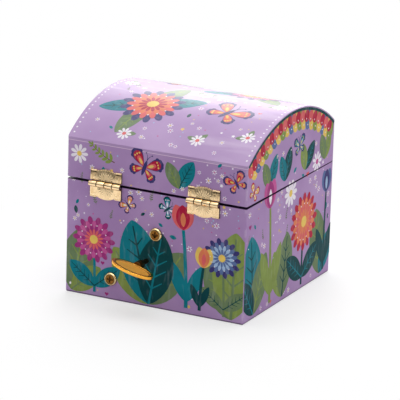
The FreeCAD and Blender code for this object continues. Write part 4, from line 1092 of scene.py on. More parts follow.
def draw_left_end():
    """End panel with an orange blossom among cool leaves."""
    art = Drawing(11)
    arch_edging(art)
    leaf_fan(art, (-47, 3), (50, 96, TEAL), (38, 66, SAGE), (28, 124, DEEP))
    tulip(art, (-25, 4), 60, 18, ("magenta", "pink", "white"), "moss", -3, 6)
    leaf_fan(art, (-8, 3), (34, 112, MOSS), (40, 82, DARK_SAGE))
    blossom(art, (19, 3), (20, 43), 18.5, ("crimson", "orange", "coral", "orange"), DEEP, 4, 16)
    leaf_fan(art, (45, 3), (44, 100, SAGE), (30, 60, TEAL))
    tulip(art, (50, 4), 50, 15, ("navy", "slate", "sky"), "deep_green", 1, 6)
    lone_daisy(art, (0, 66), 8.5, "yellow", 10)
    lone_daisy(art, (36, 77), 6.5, "pink", 9)
    leaf_fan(art, (-30, 77), (21, 64, TEAL), (19, 118, SAGE))
    leaf_fan(art, (19, 76), (20, 52, DEEP), (18, 104, MOSS))
    leaf_fan(art, (-9, 76), (21, 70, DEEP), (18, 112, TEAL))
    leaf_fan(art, (47, 76), (17, 66, MOSS), (18, 110, SAGE))
    butterfly(art, (10, 93), 8.5, 96, "navy", ("teal", "sky", "yellow"), 5)
    butterfly(art, (-51, 79), 7, 60, "crimson", ("yellow", "orange", "white"), 5)
    sprinkle(art, (-57, 3), (57, 94), 0.9)
    return art


def draw_right_end():
    """End panel with rosy and blue blossoms on tall stems."""
    art = Drawing(23)
    arch_edging(art)
    dahlia(art, (-26, 44), 15, ("magenta", "pink", "coral"), 6)
    dahlia(art, (24, 54), 16, ("navy", "slate", "sky", "slate"), 6)
    art.stroke("deep_green", (-20, 3), (-30, 20), (-26, 32), 2.0, 3)
    art.stroke("deep_green", (18, 3), (28, 24), (24, 40), 2.0, 3)
    broad_leaf(art, (-22, 6), 30, 138, SAGE)
    broad_leaf(art, (-20, 6), 26, 52, TEAL)
    broad_leaf(art, (18, 6), 28, 128, MOSS)
    broad_leaf(art, (20, 6), 32, 44, DEEP)
    tulip(art, (0, 3), 50, 16, ("crimson", "coral", "yellow"), "teal", 1, 8)
    butterfly(art, (-6, 86), 10, 80, "navy", ("crimson", "coral", "yellow"), 5)
    lone_daisy(art, (47, 30), 7, "yellow", 9)
    sprinkle(art, (-57, 3), (57, 96), 0.9)
    return art


def draw_front():
    """Front panel: one large bouquet under a row of butterflies."""
    art = Drawing(31)
    for side in (-1, 1):
        broad_leaf(art, (side * 6, 12), 30, 90 - side * 58, SAGE, 0, 0.27)
        broad_leaf(art, (side * 6, 10), 26, 90 - side * 84, DEEP, 1, 0.27)
        tulip(art, (side * 10, 4), 40, 15, ("crimson", "coral", "orange"), "teal", side * 13, 3)
        dahlia(art, (side * 42, 30), 12.5, ("magenta", "pink", "coral"), 3, 12)
        sprig(art, (side * 48, 46), 20, 90 + side * 20, "moss")
        butterfly(art, (side * 34, 85), 10.5, 90 - side * 14, "navy", ("coral", "crimson", "yellow"))
    dahlia(art, (0, 40), 17, ("crimson", "orange", "yellow", "coral"), 9, 16, "white")
    lone_daisy(art, (0, 86), 7.5, "yellow", 10)
    sprinkle(art, (-57, 3), (57, 95))
    return art


def draw_dome(arc):
    """Dome: large blossoms and butterflies, with a row of dots along both ends."""
    art = Drawing(47)
    dot_step = 4.1
    dot_inset = 2.6
    for at, turns in (((-22, 40), (22, 74, 200, 252)), ((23, 90), (30, 140, 210, 318))):
        for number, turn in enumerate(turns):
            broad_leaf(art, at, 33, turn, (TEAL, SAGE)[number % 2], 0, 0.2)
    dahlia(art, (-22, 40), 20, ("navy", "coral", "orange", "crimson"), 3)
    dahlia(art, (23, 90), 19, ("navy", "pink", "coral", "yellow"), 3, centre="crimson")
    butterfly(art, (26, 43), 16, 62, "navy", ("coral", "orange", "yellow"), 2)
    butterfly(art, (-27, 93), 16, 118, "navy", ("crimson", "coral", "yellow"), 2)
    for at in ((-26, 9), (21, 13), (50, 22), (-50, 66), (51, 64), (1, arc / 2), (-6, 115), (43, 116)):
        daisy(art, at, 4.8, "coral", 9, 2)
        for turn in (35, 145):
            art.cutout("sage", leaf(0.24), at, 7.6, turn + at[0], 0, 16)
        art.reserve(at, 6.5)
    for side in (-1, 1):
        for number in range(int((arc - 6) / dot_step)):
            spot = (side * (HALF_WIDTH / MM - dot_inset), 4 + dot_step * number)
            art.dot("white", spot, 0.62, 0, 10)
            art.reserve(spot, 1.2)
    sprinkle(art, (-50, 5), (50, arc - 5), 0.75)
    return art


def lay_print(art, name, body, edges, spread, ink="wall_ink", gloss=WALL_INK_GLOSS):
    """Clip a copy of a drawing at its edges, spread it over its panel and make it a piece."""
    bm = art.bm.copy()
    bmesh.ops.triangulate(bm, faces=bm.faces)
    for point, outward in edges:
        cut(bm, (*point, 0), (*outward, 0), True)
    spread(bm)
    return piece_from(bm, name, finish_of(ink, print_ink, gloss), body)


def side_edges():
    """Lines that keep a print off the two sides of its panel."""
    side = (HALF_WIDTH - bpy.context.scene.box_print.margin) / MM
    return [((side, 0), (1, 0)), ((-side, 0), (-1, 0))]


def lay_walls(art, name, along, outward, rim=None, tilt=0.0):
    """Print a drawing on a wall of the base and on the lid's wall above it.

    The lid's print starts at the height of a level rim, or at a rim that slopes one way or the other.
    """
    sizes = bpy.context.scene.box_print

    def spread(bm):
        for vert in bm.verts:
            u, v, level = vert.co
            out = HALF_DEPTH + sizes.ink_step * (level + 1)
            vert.co = along * (u * MM) + Vector((0, 0, v * MM)) + outward * out

    base_edges = [((0, sizes.margin / MM), (0, -1)), ((0, BASE_TOP / MM), (0, 1))]
    lay_print(art, f"{name}_print_base", "base", side_edges() + base_edges, spread)
    if rim is None:
        slope = Vector((tilt * (LID_RIM_BACK - LID_RIM_FRONT) / (2 * HALF_DEPTH), -1)).normalized()
        lid_edges = [((0, (LID_RIM_BACK + LID_RIM_FRONT) / 2 / MM), tuple(slope))]
    else:
        lid_edges = [((0, rim / MM), (0, -1)), ((0, sizes.crease / MM - CREASE_GAP), (0, 1))]
    lay_print(art, f"{name}_print_lid", "lid", side_edges() + lid_edges, spread)
    art.bm.free()


class BOX_OT_case(bpy.types.Operator):
    """Cover the case boards in printed paper and soften the dome's edges"""
    bl_idname = "box.case"
    bl_label = "Case papers"

    def execute(self, context):
        paper = finish_of("case_paper", case_paper)
        dress(paper, "base_front_wall", "base_back_wall", "base_left_wall", "base_right_wall",
              "lid_front_wall", "lid_back_wall", "lid_left_end", "lid_right_end")
        dress(finish_of("bottom_paper", bottom_paper), "base_bottom_panel")
        bm = copy_of("lid_dome")
        soften(bm, context.scene.box_print.edge_soften, self.outer_edge, 3)
        dome = piece_from(bm, "dome_board", finish_of("dome_paper", dome_paper), "lid", 25)
        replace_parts(dome, "lid_dome")
        return {"FINISHED"}

    def outer_edge(self, edge):
        """Whether an edge of the dome lies on its outside, at an end or at the crease."""
        ends = [vert.co for vert in edge.verts]
        on_dome = all(abs(math.hypot(co.y, co.z - dome_centre()) - dome_radius()) < NEAR for co in ends)
        at_end = all(abs(co.x) > HALF_WIDTH - NEAR for co in ends)
        at_crease = all(abs(co.y) > HALF_DEPTH - NEAR for co in ends)
        return on_dome and (at_end or at_crease)


class BOX_OT_print(bpy.types.Operator):
    """Print the motifs on the four walls and the dome"""
    bl_idname = "box.print"
    bl_label = "Printed motifs"

    def execute(self, context):
        lay_walls(draw_back(), "back", Vector((-1, 0, 0)), Vector((0, 1, 0)), LID_RIM_BACK)
        lay_walls(draw_front(), "front", Vector((1, 0, 0)), Vector((0, -1, 0)), LID_RIM_FRONT)
        lay_walls(draw_left_end(), "left_end", Vector((0, -1, 0)), Vector((-1, 0, 0)), tilt=-1.0)
        lay_walls(draw_right_end(), "right_end", Vector((0, 1, 0)), Vector((1, 0, 0)), tilt=1.0)
        self.lay_dome(context.scene.box_print)
        return {"FINISHED"}

    def lay_dome(self, sizes):
        radius = dome_radius()
        half_turn = math.asin(HALF_DEPTH / radius)
        arc = 2 * half_turn * radius / MM
        strips = int(arc / (sizes.bend_step / MM))

        def on_arch(number):
            turn = half_turn * (1 - 2 * number / strips)
            return Vector((radius * math.sin(turn), radius * math.cos(turn)))

        def bend(bm):
            """Motifs lie on flat strips, so that one that lies on another stays on it."""
            for number in range(1, strips):
                cut(bm, (0, arc * number / strips, 0), (0, 1, 0))
            for vert in bm.verts:
                u, v, level = vert.co
                strip = max(0, min(strips - 1, int(v / arc * strips)))
                spot = on_arch(strip).lerp(on_arch(strip + 1), v / arc * strips - strip)
                spot += spot.normalized() * (sizes.ink_step * (level + 2))
                vert.co = (-u * MM, spot.x, dome_centre() + spot.y)

        art = draw_dome(arc)
        edges = side_edges() + [((0, DOME_GAP), (0, -1)), ((0, arc - DOME_GAP), (0, 1))]
        dome = lay_print(art, "dome_print", "lid", edges, bend, "dome_ink", DOME_GLOSS)
        dome.data.shade_smooth()
        art.bm.free()


def ellipsoid(bm, at, half, turn=None, sides=10, rings=6):
    """Small rounded bead with three half sizes."""
    verts = bmesh.ops.create_uvsphere(bm, u_segments=sides, v_segments=rings, radius=1.0)["verts"]
    spin = turn or Matrix.Identity(3)
    for vert in verts:
        spot = Vector(part * share for part, share in zip(vert.co, half))
        vert.co = spin @ spot + Vector(at)


def round_bar(bm, start, stop, radius, tip=None, sides=16):
    """Round bar or tapered limb between two points."""
    way = stop - start
    place = Matrix.Translation((start + stop) / 2) @ way.to_track_quat("Z", "Y").to_matrix().to_4x4()
    bmesh.ops.create_cone(bm, cap_ends=True, segments=sides, radius1=radius,
                          radius2=radius if tip is None else tip, depth=way.length, matrix=place)


class LeafOrnament:
    """Stamped relief of one hinge leaf; sign is +1 on the lid leaf and -1 on the base leaf."""
    shell_spread = math.radians(152)
    shell_foot = 0.0021
    shell_start = 0.0008
    sunk = 0.00002
    border_lines = ((0.0010, 0.00017), (0.0017, 0.0001))
    border_foot = 0.0026
    border_gap = 0.0017
    crest_beads = 19
    crest_inset = 0.0004
    crest_rise = 0.0003
    crest_bow = 0.0011
    crest_bead = (0.00024, 0.0001, 0.00024)
    scroll_beads = 16
    scroll_inset = 0.0035
    scroll_rise = 0.0050
    scroll_sweep = 250
    scroll_start = 40
    scroll_reach = 0.0016
    scroll_reach_step = 0.00006
    scroll_bead = 0.00026
    scroll_bead_step = 0.000008
    scroll_bead_rise = 0.00011
    bar_sink = 0.6
    bar_inset = 0.0001
    seam_half = 0.0003
    seam_depth = 0.0004

    def __init__(self, bm, node, sign):
        low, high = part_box(node)
        self.bm = bm
        self.middle = (low.x + high.x) / 2
        self.half = (high.x - low.x) / 2
        self.sign = sign
        self.sizes = bpy.context.scene.box_hardware
        self.lean = self.sizes.leaf_lean if sign > 0 else 0.0

    def on_face(self, x, rise, proud=0.0):
        """Place on the leaf's outer face, from its middle and its pin."""
        back = self.lean * max(0.0, rise / self.sizes.leaf_height)
        face = HALF_DEPTH + self.sizes.leaf_thick - back
        return Vector((self.middle + x, face + proud, HINGE_AXIS.z + self.sign * rise))

    def bead(self, x, rise, half):
        ellipsoid(self.bm, self.on_face(x, rise), half, None, 8, 5)

    def tilt_face(self):
        """Lean the outer face back, away from its knuckles."""
        plate = HALF_DEPTH + self.sizes.leaf_thick
        for vert in self.bm.verts:
            rise = (vert.co.z - HINGE_AXIS.z) * self.sign
            if rise > 0 and HALF_DEPTH + self.lean < vert.co.y <= plate + MERGE:
                vert.co.y -= self.lean * rise / self.sizes.leaf_height

    def shell(self):
        """Fan of rounded flutes with a scalloped edge."""
        sizes = self.sizes
        verts = bmesh.ops.create_grid(self.bm, x_segments=sizes.flutes * 8, y_segments=10, size=0.5)["verts"]
        for vert in verts:
            across, along = vert.co.x + 0.5, vert.co.y + 0.5
            turn = (across - 0.5) * self.shell_spread
            flute = abs(math.sin(across * sizes.flutes * math.pi))
            reach = sizes.flute_reach * (0.80 + 0.20 * math.cos(turn)) * (0.9 + 0.1 * flute)
            distance = self.shell_start + along * reach
            swell = math.sqrt(max(0.0, 1 - along ** 4)) * min(1.0, along * 5)
            proud = sizes.flute_height * (flute ** 0.7 * swell * (0.35 + 0.65 * along)) - self.sunk
            vert.co = self.on_face(self.sign * distance * math.sin(turn),
                                   self.shell_foot + distance * math.cos(turn), proud)

    def borders(self):
        """Two lines and a scroll inside each side, and a beaded line under the crest."""
        top = self.sizes.leaf_height
        for side in (-1, 1):
            for inset, radius in self.border_lines:
                x = side * (self.half - inset)
                round_bar(self.bm, self.on_face(x, self.border_foot), self.on_face(x, top - self.border_gap),
                          radius, sides=8)
            self.scroll(side)
        for number in range(self.crest_beads):
            share = 2 * number / (self.crest_beads - 1) - 1
            self.bead(share * (self.half - self.sizes.leaf_corner - self.crest_inset),
                      top + self.crest_rise - self.crest_bow * share ** 2, self.crest_bead)

    def scroll(self, side):
        """Curl beside the shell, as a row of beads that shrink inwards."""
        for number in range(self.scroll_beads):
            turn = math.radians(self.scroll_sweep * number / (self.scroll_beads - 1) - self.scroll_start)
            reach = self.scroll_reach - self.scroll_reach_step * number
            size = self.scroll_bead - self.scroll_bead_step * number
            self.bead(side * (self.half - self.scroll_inset) + side * reach * math.cos(turn),
                      self.scroll_rise + reach * math.sin(turn), (size, self.scroll_bead_rise, size))

    def corners(self):
        """Bright rolled bars where the corners bend into the board."""
        radius = self.sizes.bar_radius
        for side in (-1, 1):
            near, far = (self.on_face(side * (self.half - inset), self.sizes.leaf_height - radius,
                                      -self.bar_sink * radius)
                         for inset in (self.bar_inset, self.sizes.leaf_corner))
            round_bar(self.bm, near, far, radius)

    def seam(self):
        """Line round the middle of the lid leaf's knuckle, where its two rolls meet."""
        low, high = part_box("left_hinge_pin")
        reach = (high.z - low.z) / 2
        for offset in (-self.seam_half, 0.0, self.seam_half):
            cut(self.bm, (self.middle + offset, 0, 0), (1, 0, 0))
        for vert in self.bm.verts:
            away = Vector((0, vert.co.y - HINGE_AXIS.y, vert.co.z - HINGE_AXIS.z))
            if abs(vert.co.x - self.middle) < 10 * MERGE and away.length > 2 * reach and away.y > -reach:
                vert.co -= away.normalized() * self.seam_depth


class BOX_OT_hinges(bpy.types.Operator):
    """Emboss the stamped hinge leaves"""
    bl_idname = "box.hinges"
    bl_label = "Hinges"

    def execute(self, context):
        sizes = context.scene.box_hardware
        # Darkened metal and painted shade round the barrel, between the knuckles, on the sides and under the
        # bars
        gold = finish_of("hinge_gold", metal, sizes.hinge_gold, 0.27, 900.0, grain=(1.0, 1.0, 0.2),
                         tarnish=0.2, crevices=between_knuckles, polished=barrel_and_bars)
        for side in ("left", "right"):
            for owner, sign in (("base", -1), ("lid", 1)):
                node = f"{side}_hinge_{owner}_leaf"
                bm = copy_of(node)
                ornament = LeafOrnament(bm, node, sign)
                ornament.tilt_face()
                soften(bm, sizes.knuckle_soften, self.knuckle_end, 3)
                soften(bm, sizes.metal_soften, lambda edge: not self.knuckle_end(edge))
                if sign > 0:
                    ornament.seam()
                ornament.shell()
                ornament.borders()
                ornament.corners()
                stamped = piece_from(bm, f"{node}_stamped", gold, owner, SMOOTH)
                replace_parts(stamped, node)
        dress(steel(), "left_hinge_pin", "right_hinge_pin")
        return {"FINISHED"}

    def knuckle_end(self, edge):
        """Whether an edge runs round the outside of a knuckle's end."""
        ends = [math.hypot(vert.co.y - HINGE_AXIS.y, vert.co.z - HINGE_AXIS.z) for vert in edge.verts]
        level = abs(edge.verts[0].co.x - edge.verts[1].co.x) < MERGE
        return level and all(abs(reach - BARREL) < NEAR / 2 for reach in ends)


class BOX_OT_key(bpy.types.Operator):
    """Round the winding key and mill a bead row around its panel"""
    bl_idname = "box.key"
    bl_label = "Winding key"

    def execute(self, context):
        sizes = context.scene.box_hardware
        # Darkened metal and painted shade in a line just inside the key's rim
        gold = finish_of("key_gold", metal, sizes.key_gold, 0.38, 600.0, tarnish=0.3, crevices=round_panel,
                         bare=0.3, polished=key_rim)
        low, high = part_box("key_grip")
        centre = (low + high) / 2
        tilt = Matrix.Rotation(-sizes.grip_tilt, 3, "Y")
        half_long = (high.x - low.x) / 2 / math.cos(sizes.grip_tilt) - MILLING_INSET
        half_deep = (high.y - low.y) / 2 - MILLING_INSET
        bm = copy_of("key_grip")
        soften(bm, sizes.metal_soften * 2, None, 3)
        for face in (-1, 1):
            for number in range(sizes.milling):
                turn = 2 * math.pi * number / sizes.milling
                spot = Vector((half_long * math.cos(turn), half_deep * math.sin(turn), face * MILLING_RISE))
                spin = tilt @ Matrix.Rotation(turn + MILLING_SLANT, 3, "Z")
                ellipsoid(bm, centre + tilt @ spot, MILLING_BEAD, spin, 8, 5)
        grip = piece_from(bm, "key_grip_milled", gold, "winding_key", SMOOTH)
        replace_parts(grip, "key_grip")
        # Shank in dark bronze: painted shade where it sits behind the grip
        bronze = finish_of("shank_bronze", metal, sizes.shank_bronze, 0.36, 900.0)
        rounded("key_shank", "key_shank_turned", bronze, "winding_key", sizes.metal_soften)
        return {"FINISHED"}


class BOX_OT_fasteners(bpy.types.Operator):
    """Round the movement screws and their cup washers"""
    bl_idname = "box.fasteners"
    bl_label = "Screws and washers"

    def execute(self, context):
        sizes = context.scene.box_hardware
        # Darkened metal and painted shade in the cups and in the screws' slots
        gold = finish_of("washer_gold", metal, sizes.washer_gold, 0.22, 900.0, tarnish=0.3,
                         crevices=round_screws)
        # Screw heads in darker brass that is partly painted shade inside the cups
        brass = finish_of("screw_gold", metal, sizes.screw_gold, 0.18, 900.0, crevices=in_slots)
        for node, material, slot in (("cup_washers", gold, "hinge_brass"),
                                     ("movement_screws", brass, "movement_steel")):
            rounded(node, f"{node}_turned", material, "base", sizes.metal_soften)
        return {"FINISHED"}


class BOX_OT_movement(bpy.types.Operator):
    """Give the wind-up movement its metals"""
    bl_idname = "box.movement"
    bl_label = "Movement"

    def execute(self, context):
        sizes = context.scene.box_hardware
        brass = finish_of("movement_brass", metal, sizes.brass, 0.3, 700.0)
        cast = finish_of("casting", metal, sizes.casting, 0.5, 400.0)
        dress(brass, "spring_barrel", "great_wheel", "drum", "drum_wheel", "governor_wheel", "stage_bush",
              "fan_blades")
        dress(steel(), "mainspring", "winding_arbor", "inner_post", "middle_post", "outer_post", "drum_arbor",
              "governor_arbor", "fan_arbor", "drum_pinion", "governor_pinion", "fan_pinion", "comb",
              "comb_screws", "spindle_pinion", "dancer_spindle", "spindle_bracket", "stop_wire")
        dress(cast, "bedplate", "comb_block")
        return {"FINISHED"}


class BOX_OT_boards(bpy.types.Operator):
    """Paper the inner boards"""
    bl_idname = "box.boards"
    bl_label = "Inner boards"

    def execute(self, context):
        dress(finish_of("lining_paper", lining_paper), "music_partition", "stage_board", "ring_shelf",
              "ring_shelf_riser", "mirror_board")
        return {"FINISHED"}


class BOX_OT_mirror(bpy.types.Operator):
    """Silver the mirror, and round its frame and the dancer's disc"""
    bl_idname = "box.mirror"
    bl_label = "Mirror"

    def execute(self, context):
        inside = context.scene.box_inside
        dress(finish_of("silvered_glass", silvered_glass), "mirror_glass")
        plastic = finish_of("frame_white", enamel, inside.frame_white, 0.3, 0.06)
        for node, body in (("mirror_frame", "lid"), ("dancer_disc", "dancer")):
            rounded(node, f"{node}_moulded", plastic, body, inside.frame_soften, 3)
        return {"FINISHED"}


def stuff(bm, held, cap, slack):
    """Let cloth swell under pressure wherever it isn't held; slack is the share of spare cloth.

    The cloth solver is tuned for things the size of a seat, so the form is enlarged while it runs.
    """
    scene = bpy.context.scene
    mesh = bpy.data.meshes.new("stuffing")
    bm.verts.index_update()
    bm.to_mesh(mesh)
    mesh.transform(Matrix.Scale(ENLARGED, 4))
    block = show("stuffing", mesh)
    pinned = [vert.index for vert in bm.verts if held(vert.co)]
    block.vertex_groups.new(name="held").add(pinned, 1.0, "REPLACE")
    cloth = block.modifiers.new("stuffing", "CLOTH")
    cloth.settings.vertex_group_mass = "held"
    cloth.settings.use_pressure = True
    cloth.settings.uniform_pressure_force = SWELL_PRESSURE
    cloth.settings.shrink_min = -slack
    cloth.settings.effector_weights.gravity = 0.0
    for step in range(1, SWELL_FRAMES + 1):
        scene.frame_set(step)
    swollen = block.evaluated_get(bpy.context.evaluated_depsgraph_get()).data.vertices
    for vert, soft in zip(bm.verts, swollen):
        move = soft.co / ENLARGED - vert.co
        vert.co += move * min(1.0, cap / max(move.length, MERGE))
    scene.frame_set(1)
    bpy.data.objects.remove(block)


class BOX_OT_cushions(bpy.types.Operator):
    """Stuff the ring rolls and the pad of the well"""
    bl_idname = "box.cushions"
    bl_label = "Ring rolls and pad"

    def execute(self, context):
        velvet = finish_of("velvet_pile", velvet_pile)
        for number in (1, 2, 3):
            self.roll(velvet, f"ring_roll_{number}", number)
        self.pad(velvet)
        return {"FINISHED"}

    def soft_piece(self, bm, name, velvet, node, fill):
        piece = piece_from(bm, name, velvet, "base", ROUND)
        rounder = piece.modifiers.new("rounder", "SUBSURF")
        rounder.levels = 1
        rounder.render_levels = 1
        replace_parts(piece, node)

    def roll(self, velvet, node, seed):
        """Velvet round a foam core, gathered at its tucked ends and flat where it sits."""
        low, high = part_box(node)
        centre = (low + high) / 2
        radius = (high.y - low.y) / 2
        half = (high.x - low.x) / 2
        start = radius * 0.9
        sides = 36
        rings = 119
        tucked = 0.05
        bm = bmesh.new()
        bmesh.ops.create_cone(bm, cap_ends=False, segments=sides, radius1=1.0, radius2=1.0, depth=2.0)
        long_edges = [edge for edge in bm.edges if abs(edge.verts[0].co.z - edge.verts[1].co.z) > 1]
        bmesh.ops.subdivide_edges(bm, edges=long_edges, cuts=rings, use_grid_fill=True)
        chance = random.Random(seed)
        gathers = [chance.uniform(-1, 1) for _ in range(sides)]
        for vert in bm.verts:
            along = vert.co.z
            turn = math.atan2(vert.co.y, vert.co.x)
            end = max(0.0, abs(along) - (1 - tucked)) / tucked
            fold = gathers[round(turn / (2 * math.pi) * sides) % sides]
            reach = start * max(0.3, math.sqrt(max(0.0, 1 - end ** 2)) * (1 - 0.05 * end * fold))
            z = high.z - radius + reach * math.sin(turn)
            vert.co = (centre.x + along * half * 0.99, centre.y + reach * math.cos(turn),
                       max(low.z + SEAT_GAP, z))
        close_holes(bm)
        bmesh.ops.poke(bm, faces=[face for face in bm.faces if len(face.verts) > 4])
        bmesh.ops.recalc_face_normals(bm, faces=bm.faces)
        seat = low.z + 0.0004
        tuck = half * 0.985
        stuff(bm, lambda co: co.z < seat or abs(co.x - centre.x) > tuck, radius * 0.14, 0.06)
        for vert in bm.verts:
            vert.co.z = max(low.z + SEAT_GAP, vert.co.z)
            vert.co.x = max(low.x, min(high.x, vert.co.x))
        self.soft_piece(bm, f"{node}_velvet", velvet, node, 0.85)

    def pad(self, velvet):
        """Thin pad, stitched down in a diamond of points, with a drawn-in border."""
        low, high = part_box("well_lining")
        centre = (low + high) / 2
        wide, deep, thick = high - low
        stitch_reach = 0.0028
        drawn_in = 0.995
        columns = 8
        rows = 4
        stitches = [((column + 0.5 * (row % 2)) / columns - 0.5, row / rows - 0.5)
                    for row in range(1, rows) for column in range(columns + 1)]
        stitches = [(x, y) for x, y in stitches if abs(x) < 0.49]
        bm = bmesh.new()
        bmesh.ops.create_grid(bm, x_segments=112, y_segments=48, size=0.5)
        for vert in bm.verts:
            u, v = vert.co.x, vert.co.y
            border = min(1.0, (0.5 - max(abs(u), abs(v))) * 14)
            near = min(math.hypot((u - x) * wide, (v - y) * deep) for x, y in stitches)
            dip = math.exp(-(near / stitch_reach) ** 2)
            rise = thick * (0.2 + 0.5 * math.sqrt(max(0.0, border)) * (1 - 0.75 * dip))
            vert.co = (centre.x + u * wide * drawn_in, centre.y + v * deep * drawn_in, low.z + rise)
        stitched = low.z + thick * 0.42
        stuff(bm, lambda co: co.z < stitched, thick * 0.5, 0.05)
        for vert in bm.verts:
            vert.co.z = min(high.z, vert.co.z)
        for item in bmesh.ops.extrude_face_region(bm, geom=bm.faces[:])["geom"]:
            if isinstance(item, bmesh.types.BMVert):
                item.co.z = low.z + SEAT_GAP
        bmesh.ops.recalc_face_normals(bm, faces=bm.faces)
        self.soft_piece(bm, "well_pad", velvet, "well_lining", 0.7)


class BOX_OT_dancer(bpy.types.Operator):
    """Model the dancer: figure, bodice, hair, face and shoes"""
    bl_idname = "box.dancer"
    bl_label = "Dancer"

    def execute(self, context):
        inside = context.scene.box_inside
        disc_low, disc_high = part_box("dancer_disc")
        figure_low, figure_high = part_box("dancer_figure")
        self.foot = Vector(((disc_low.x + disc_high.x) / 2, (disc_low.y + disc_high.y) / 2, figure_low.z))
        self.tall = (figure_high.z - figure_low.z) / FIGURE_TOP
        skin = finish_of("skin_paint", enamel, inside.skin, 0.42, 0.06)
        satin = finish_of("bodice_paint", enamel, inside.bodice, 0.35, 0.15)
        hair = finish_of("hair_paint", enamel, inside.hair, 0.4, 0.35)
        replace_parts(self.figure(skin), "dancer_figure")
        self.bodice(satin)
        self.shoes(satin)
        self.hair(hair)
        self.face(hair, satin)
        return {"FINISHED"}

    def moulded(self, bm, name, material, smooth):
        return piece_from(bm, name, material, "dancer", smooth)

    def at(self, x, y, z):
        """Place over the dancer's foot, in shares of its height, as all its sizes are."""
        return self.foot + Vector((x, y, z)) * self.tall

    def bead(self, bm, place, half, spin=None, sides=16, rings=10):
        ellipsoid(bm, self.at(*place), [share * self.tall for share in half], spin, sides, rings)

    def limb(self, bm, points):
        """Chain of tapered rods with round joints; each point is a place and a radius."""
        for (start, wide), (stop, narrow) in zip(points, points[1:]):
            round_bar(bm, self.at(*start), self.at(*stop), wide * self.tall, narrow * self.tall)
        for place, radius in points:
            self.bead(bm, place, (radius, radius, radius))

    def figure(self, skin):
        """Standing leg, lifted leg, trunk, arms and head, melted into one skin."""
        bm = bmesh.new()
        self.limb(bm, (((0, 0, 0.004), 0.013), ((0, 0, 0.06), 0.017), ((0, 0, 0.10), 0.018),
                       ((0, 0.004, 0.20), 0.031), ((0, 0, 0.27), 0.027), ((0, 0, 0.40), 0.041),
                       ((0, 0, 0.49), 0.048)))
        self.limb(bm, (((0.018, 0, 0.485), 0.046), ((0.10, -0.03, 0.44), 0.038),
                       ((0.168, -0.05, 0.40), 0.028), ((0.11, -0.04, 0.355), 0.027),
                       ((0.055, -0.026, 0.31), 0.017), ((0.028, -0.02, 0.285), 0.013)))
        self.limb(bm, (((0, 0, 0.50), 0.056), ((0, 0, 0.57), 0.043), ((0, -0.004, 0.66), 0.052),
                       ((0, 0, 0.715), 0.036), ((0, 0, 0.76), 0.019), ((0, -0.004, 0.80), 0.019)))
        for side in (-1, 1):
            self.limb(bm, (((0.018 * side, 0, 0.722), 0.026), ((0.05 * side, 0, 0.725), 0.021),
                           ((0.105 * side, -0.006, 0.79), 0.0165), ((0.146 * side, -0.01, 0.852), 0.0135),
                           ((0.112 * side, -0.02, 0.91), 0.0125), ((0.066 * side, -0.03, 0.958), 0.0095),
                           ((0.022 * side, -0.03, 0.983), 0.0065)))
        self.bead(bm, (0, -0.002, 0.838), (0.053, 0.058, 0.064), None, 24, 16)
        self.bead(bm, (0, -0.022, 0.80), (0.028, 0.030, 0.022))
        block = show("dancer_rough", mesh_from(bm, "dancer_rough"))
        skin_over = block.modifiers.new("skin_over", "REMESH")
        skin_over.mode = "VOXEL"
        skin_over.voxel_size = SKIN_STEP
        relax = block.modifiers.new("relax", "SMOOTH")
        relax.factor = 0.5
        relax.iterations = 6
        shaped = bpy.data.meshes.new_from_object(block.evaluated_get(bpy.context.evaluated_depsgraph_get()))
        bpy.data.objects.remove(block)
        bm = bmesh.new()
        bm.from_mesh(shaped)
        return self.moulded(bm, "dancer_body", skin, ROUND)

    def spun(self, *profile):
        """Shell turned about the dancer's axis from points with a radius and a height."""
        return turned([self.at(radius, 0, height) for radius, height in profile], self.foot, 36)

    def join(self, bm, other):
        mesh = mesh_from(other, "joined")
        bm.from_mesh(mesh)
        bpy.data.meshes.remove(mesh)

    def bodice(self, satin):
        bm = self.spun((0.052, 0.505), (0.0635, 0.51), (0.0625, 0.535), (0.0485, 0.575), (0.052, 0.62),
                       (0.0585, 0.66), (0.0565, 0.685), (0.049, 0.695), (0.040, 0.69))
        for side in (-1, 1):
            front, top, back = (self.at(0.034 * side, y, z)
                                for y, z in ((-0.042, 0.685), (-0.018, 0.742), (0.038, 0.685)))
            round_bar(bm, front, top, 0.0045 * self.tall, sides=8)
            round_bar(bm, top, back, 0.0045 * self.tall, sides=8)
        self.moulded(bm, "dancer_bodice", satin, SMOOTH)

    def shoes(self, satin):
        """Shoe of the standing foot with two ribbons, and a pointed one on the lifted foot."""
        bm = self.spun((0.0145, 0.001), (0.017, 0.012), (0.0195, 0.05), (0.0205, 0.075), (0.0195, 0.083))
        way = Vector((0.055, -0.026, 0.31)) - Vector((0.024, -0.019, 0.28))
        spin = way.to_track_quat("Z", "Y").to_matrix()
        self.bead(bm, (0.036, -0.022, 0.291), (0.016, 0.016, 0.03), spin)
        for height in (0.095, 0.112):
            self.join(bm, self.spun((0.0195, height - 0.003), (0.0215, height), (0.0195, height + 0.003)))
        self.moulded(bm, "dancer_shoes", satin, 60)

    def hair(self, hair):
        """Combed hair drawn back to a bun."""
        bm = bmesh.new()
        centre = self.at(0, 0.002, 0.84)
        verts = bmesh.ops.create_uvsphere(bm, u_segments=32, v_segments=20, radius=1.0)["verts"]
        for vert in verts:
            comb = 1 + 0.012 * math.sin(math.atan2(vert.co.x, vert.co.z) * 26)
            spot = Vector((vert.co.x * 0.0585, vert.co.y * 0.0645, vert.co.z * 0.0685)) * comb
            vert.co = centre + spot * self.tall
        cut(bm, self.at(0, -0.026, 0.86), (0, -1, -0.42), True)
        close_holes(bm)
        self.bead(bm, (0, 0.036, 0.908), (0.031, 0.029, 0.027), None, 20, 12)
        bmesh.ops.recalc_face_normals(bm, faces=bm.faces)
        self.moulded(bm, "dancer_hair", hair, 50)

